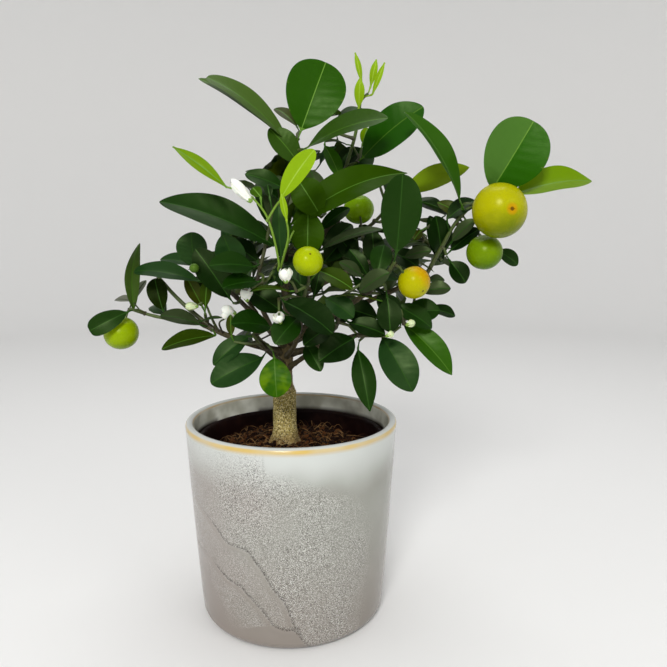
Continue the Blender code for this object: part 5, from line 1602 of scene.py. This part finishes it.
cup_radii = np.array([radius * np.array([0.5, 0.75, 1.0, 1.05, 0.85]) for foot, tip, radius in cups])
stamen_share = np.array([[0.0], [0.8], [0.86], [1.0]])
stamen_curves = np.stack([foot + (tip - foot) * stamen_share for foot, tip in stamens])
stamen_radii = np.tile(np.array([0.12, 0.12, 0.34, 0.2]), (len(stamens), 1))
stamen_kind = np.array([0, 0, 3, 3, 3])[None, :, None]
petal_kind = blade_finishes(petals, 10, FEW_TOP_ACROSS, FEW_UNDER_ACROSS, petal_names)
blossom_shells = [
    Shell(petal_rings, petal_poles, petal_kind),
    Shell(tube_rings(cup_curves, cup_radii, 10), None, 2),
    Shell(tube_rings(stamen_curves, stamen_radii, 5), None, stamen_kind)]
make_piece("blossom", blossom_shells, petal_finishes)

# Studio
# A plain pale floor that curves up into a low wall all round, three soft lights, and a camera where the
# photograph was taken from.
FLOOR_FLAT = 1500.0
FLOOR_CURVE = 700.0
WALL_TOP = 2100.0
floor_profile = np.vstack([[(0.0, 0.0), (300.0, 0.0), (FLOOR_FLAT, 0.0)],
                           round_stretch((FLOOR_FLAT, FLOOR_CURVE), FLOOR_CURVE, -90, 0, 24)[1:],
                           [(FLOOR_FLAT + FLOOR_CURVE, WALL_TOP)]])
floor_rings = turned(floor_profile, 128)[0]
floor_index = np.arange(floor_rings.shape[0] * 128).reshape(-1, 128)
floor_ahead = np.roll(floor_index, -1, axis=1)
floor_faces = np.stack([floor_index[1:], floor_ahead[1:], floor_ahead[:-1], floor_index[:-1]], axis=-1)
floor_mesh = bpy.data.meshes.new("pale_floor")
floor_mesh.from_pydata((floor_rings.reshape(-1, 3) * MM).tolist(), [], floor_faces.reshape(-1, 4).tolist())
floor_mesh.shade_smooth()
floor = bpy.data.objects.new("pale_floor", floor_mesh)
bpy.context.scene.collection.objects.link(floor)
pale_floor = Finish("pale_floor", paint(238, 237, 235), 0.9, {"Specular IOR Level": 0.2})
floor_mesh.materials.append(pale_floor.material)

# Each light's place and width in metres, and its power
LIGHTS = (("key", (-0.2, -1.5, 1.15), 0.5, 21.0), ("fill", (1.1, -1.0, 1.0), 0.7, 2.0),
          ("top", (0.1, 0.3, 1.7), 0.9, 6.0))
LIT_POINT = Vector((0.0, 0.0, 0.22))
for name, place, size, power in LIGHTS:
    lamp = bpy.data.lights.new(name, "AREA")
    lamp.shape = "DISK"
    lamp.size = size
    lamp.energy = power
    light = bpy.data.objects.new(name, lamp)
    light.location = place
    light.rotation_euler = (LIT_POINT - Vector(place)).to_track_quat("-Z", "Y").to_euler()
    bpy.context.scene.collection.objects.link(light)
world = bpy.data.worlds.new("studio")
bpy.context.scene.world = world
world.use_nodes = True
world.node_tree.nodes["Background"].inputs["Color"].default_value = (0.9, 0.92, 0.95, 1.0)
world.node_tree.nodes["Background"].inputs["Strength"].default_value = 0.48
bpy.context.scene.view_settings.view_transform = "Standard"

SENSOR = 36.0
camera = bpy.data.objects.new("camera", bpy.data.cameras.new("camera"))
camera.data.sensor_width = SENSOR
camera.data.lens = SENSOR
camera.location = tuple(EYE * MM)
camera.rotation_euler = (math.radians(90) - EYE_DOWN, 0.0, 0.0)
bpy.context.scene.collection.objects.link(camera)
bpy.context.scene.camera = camera
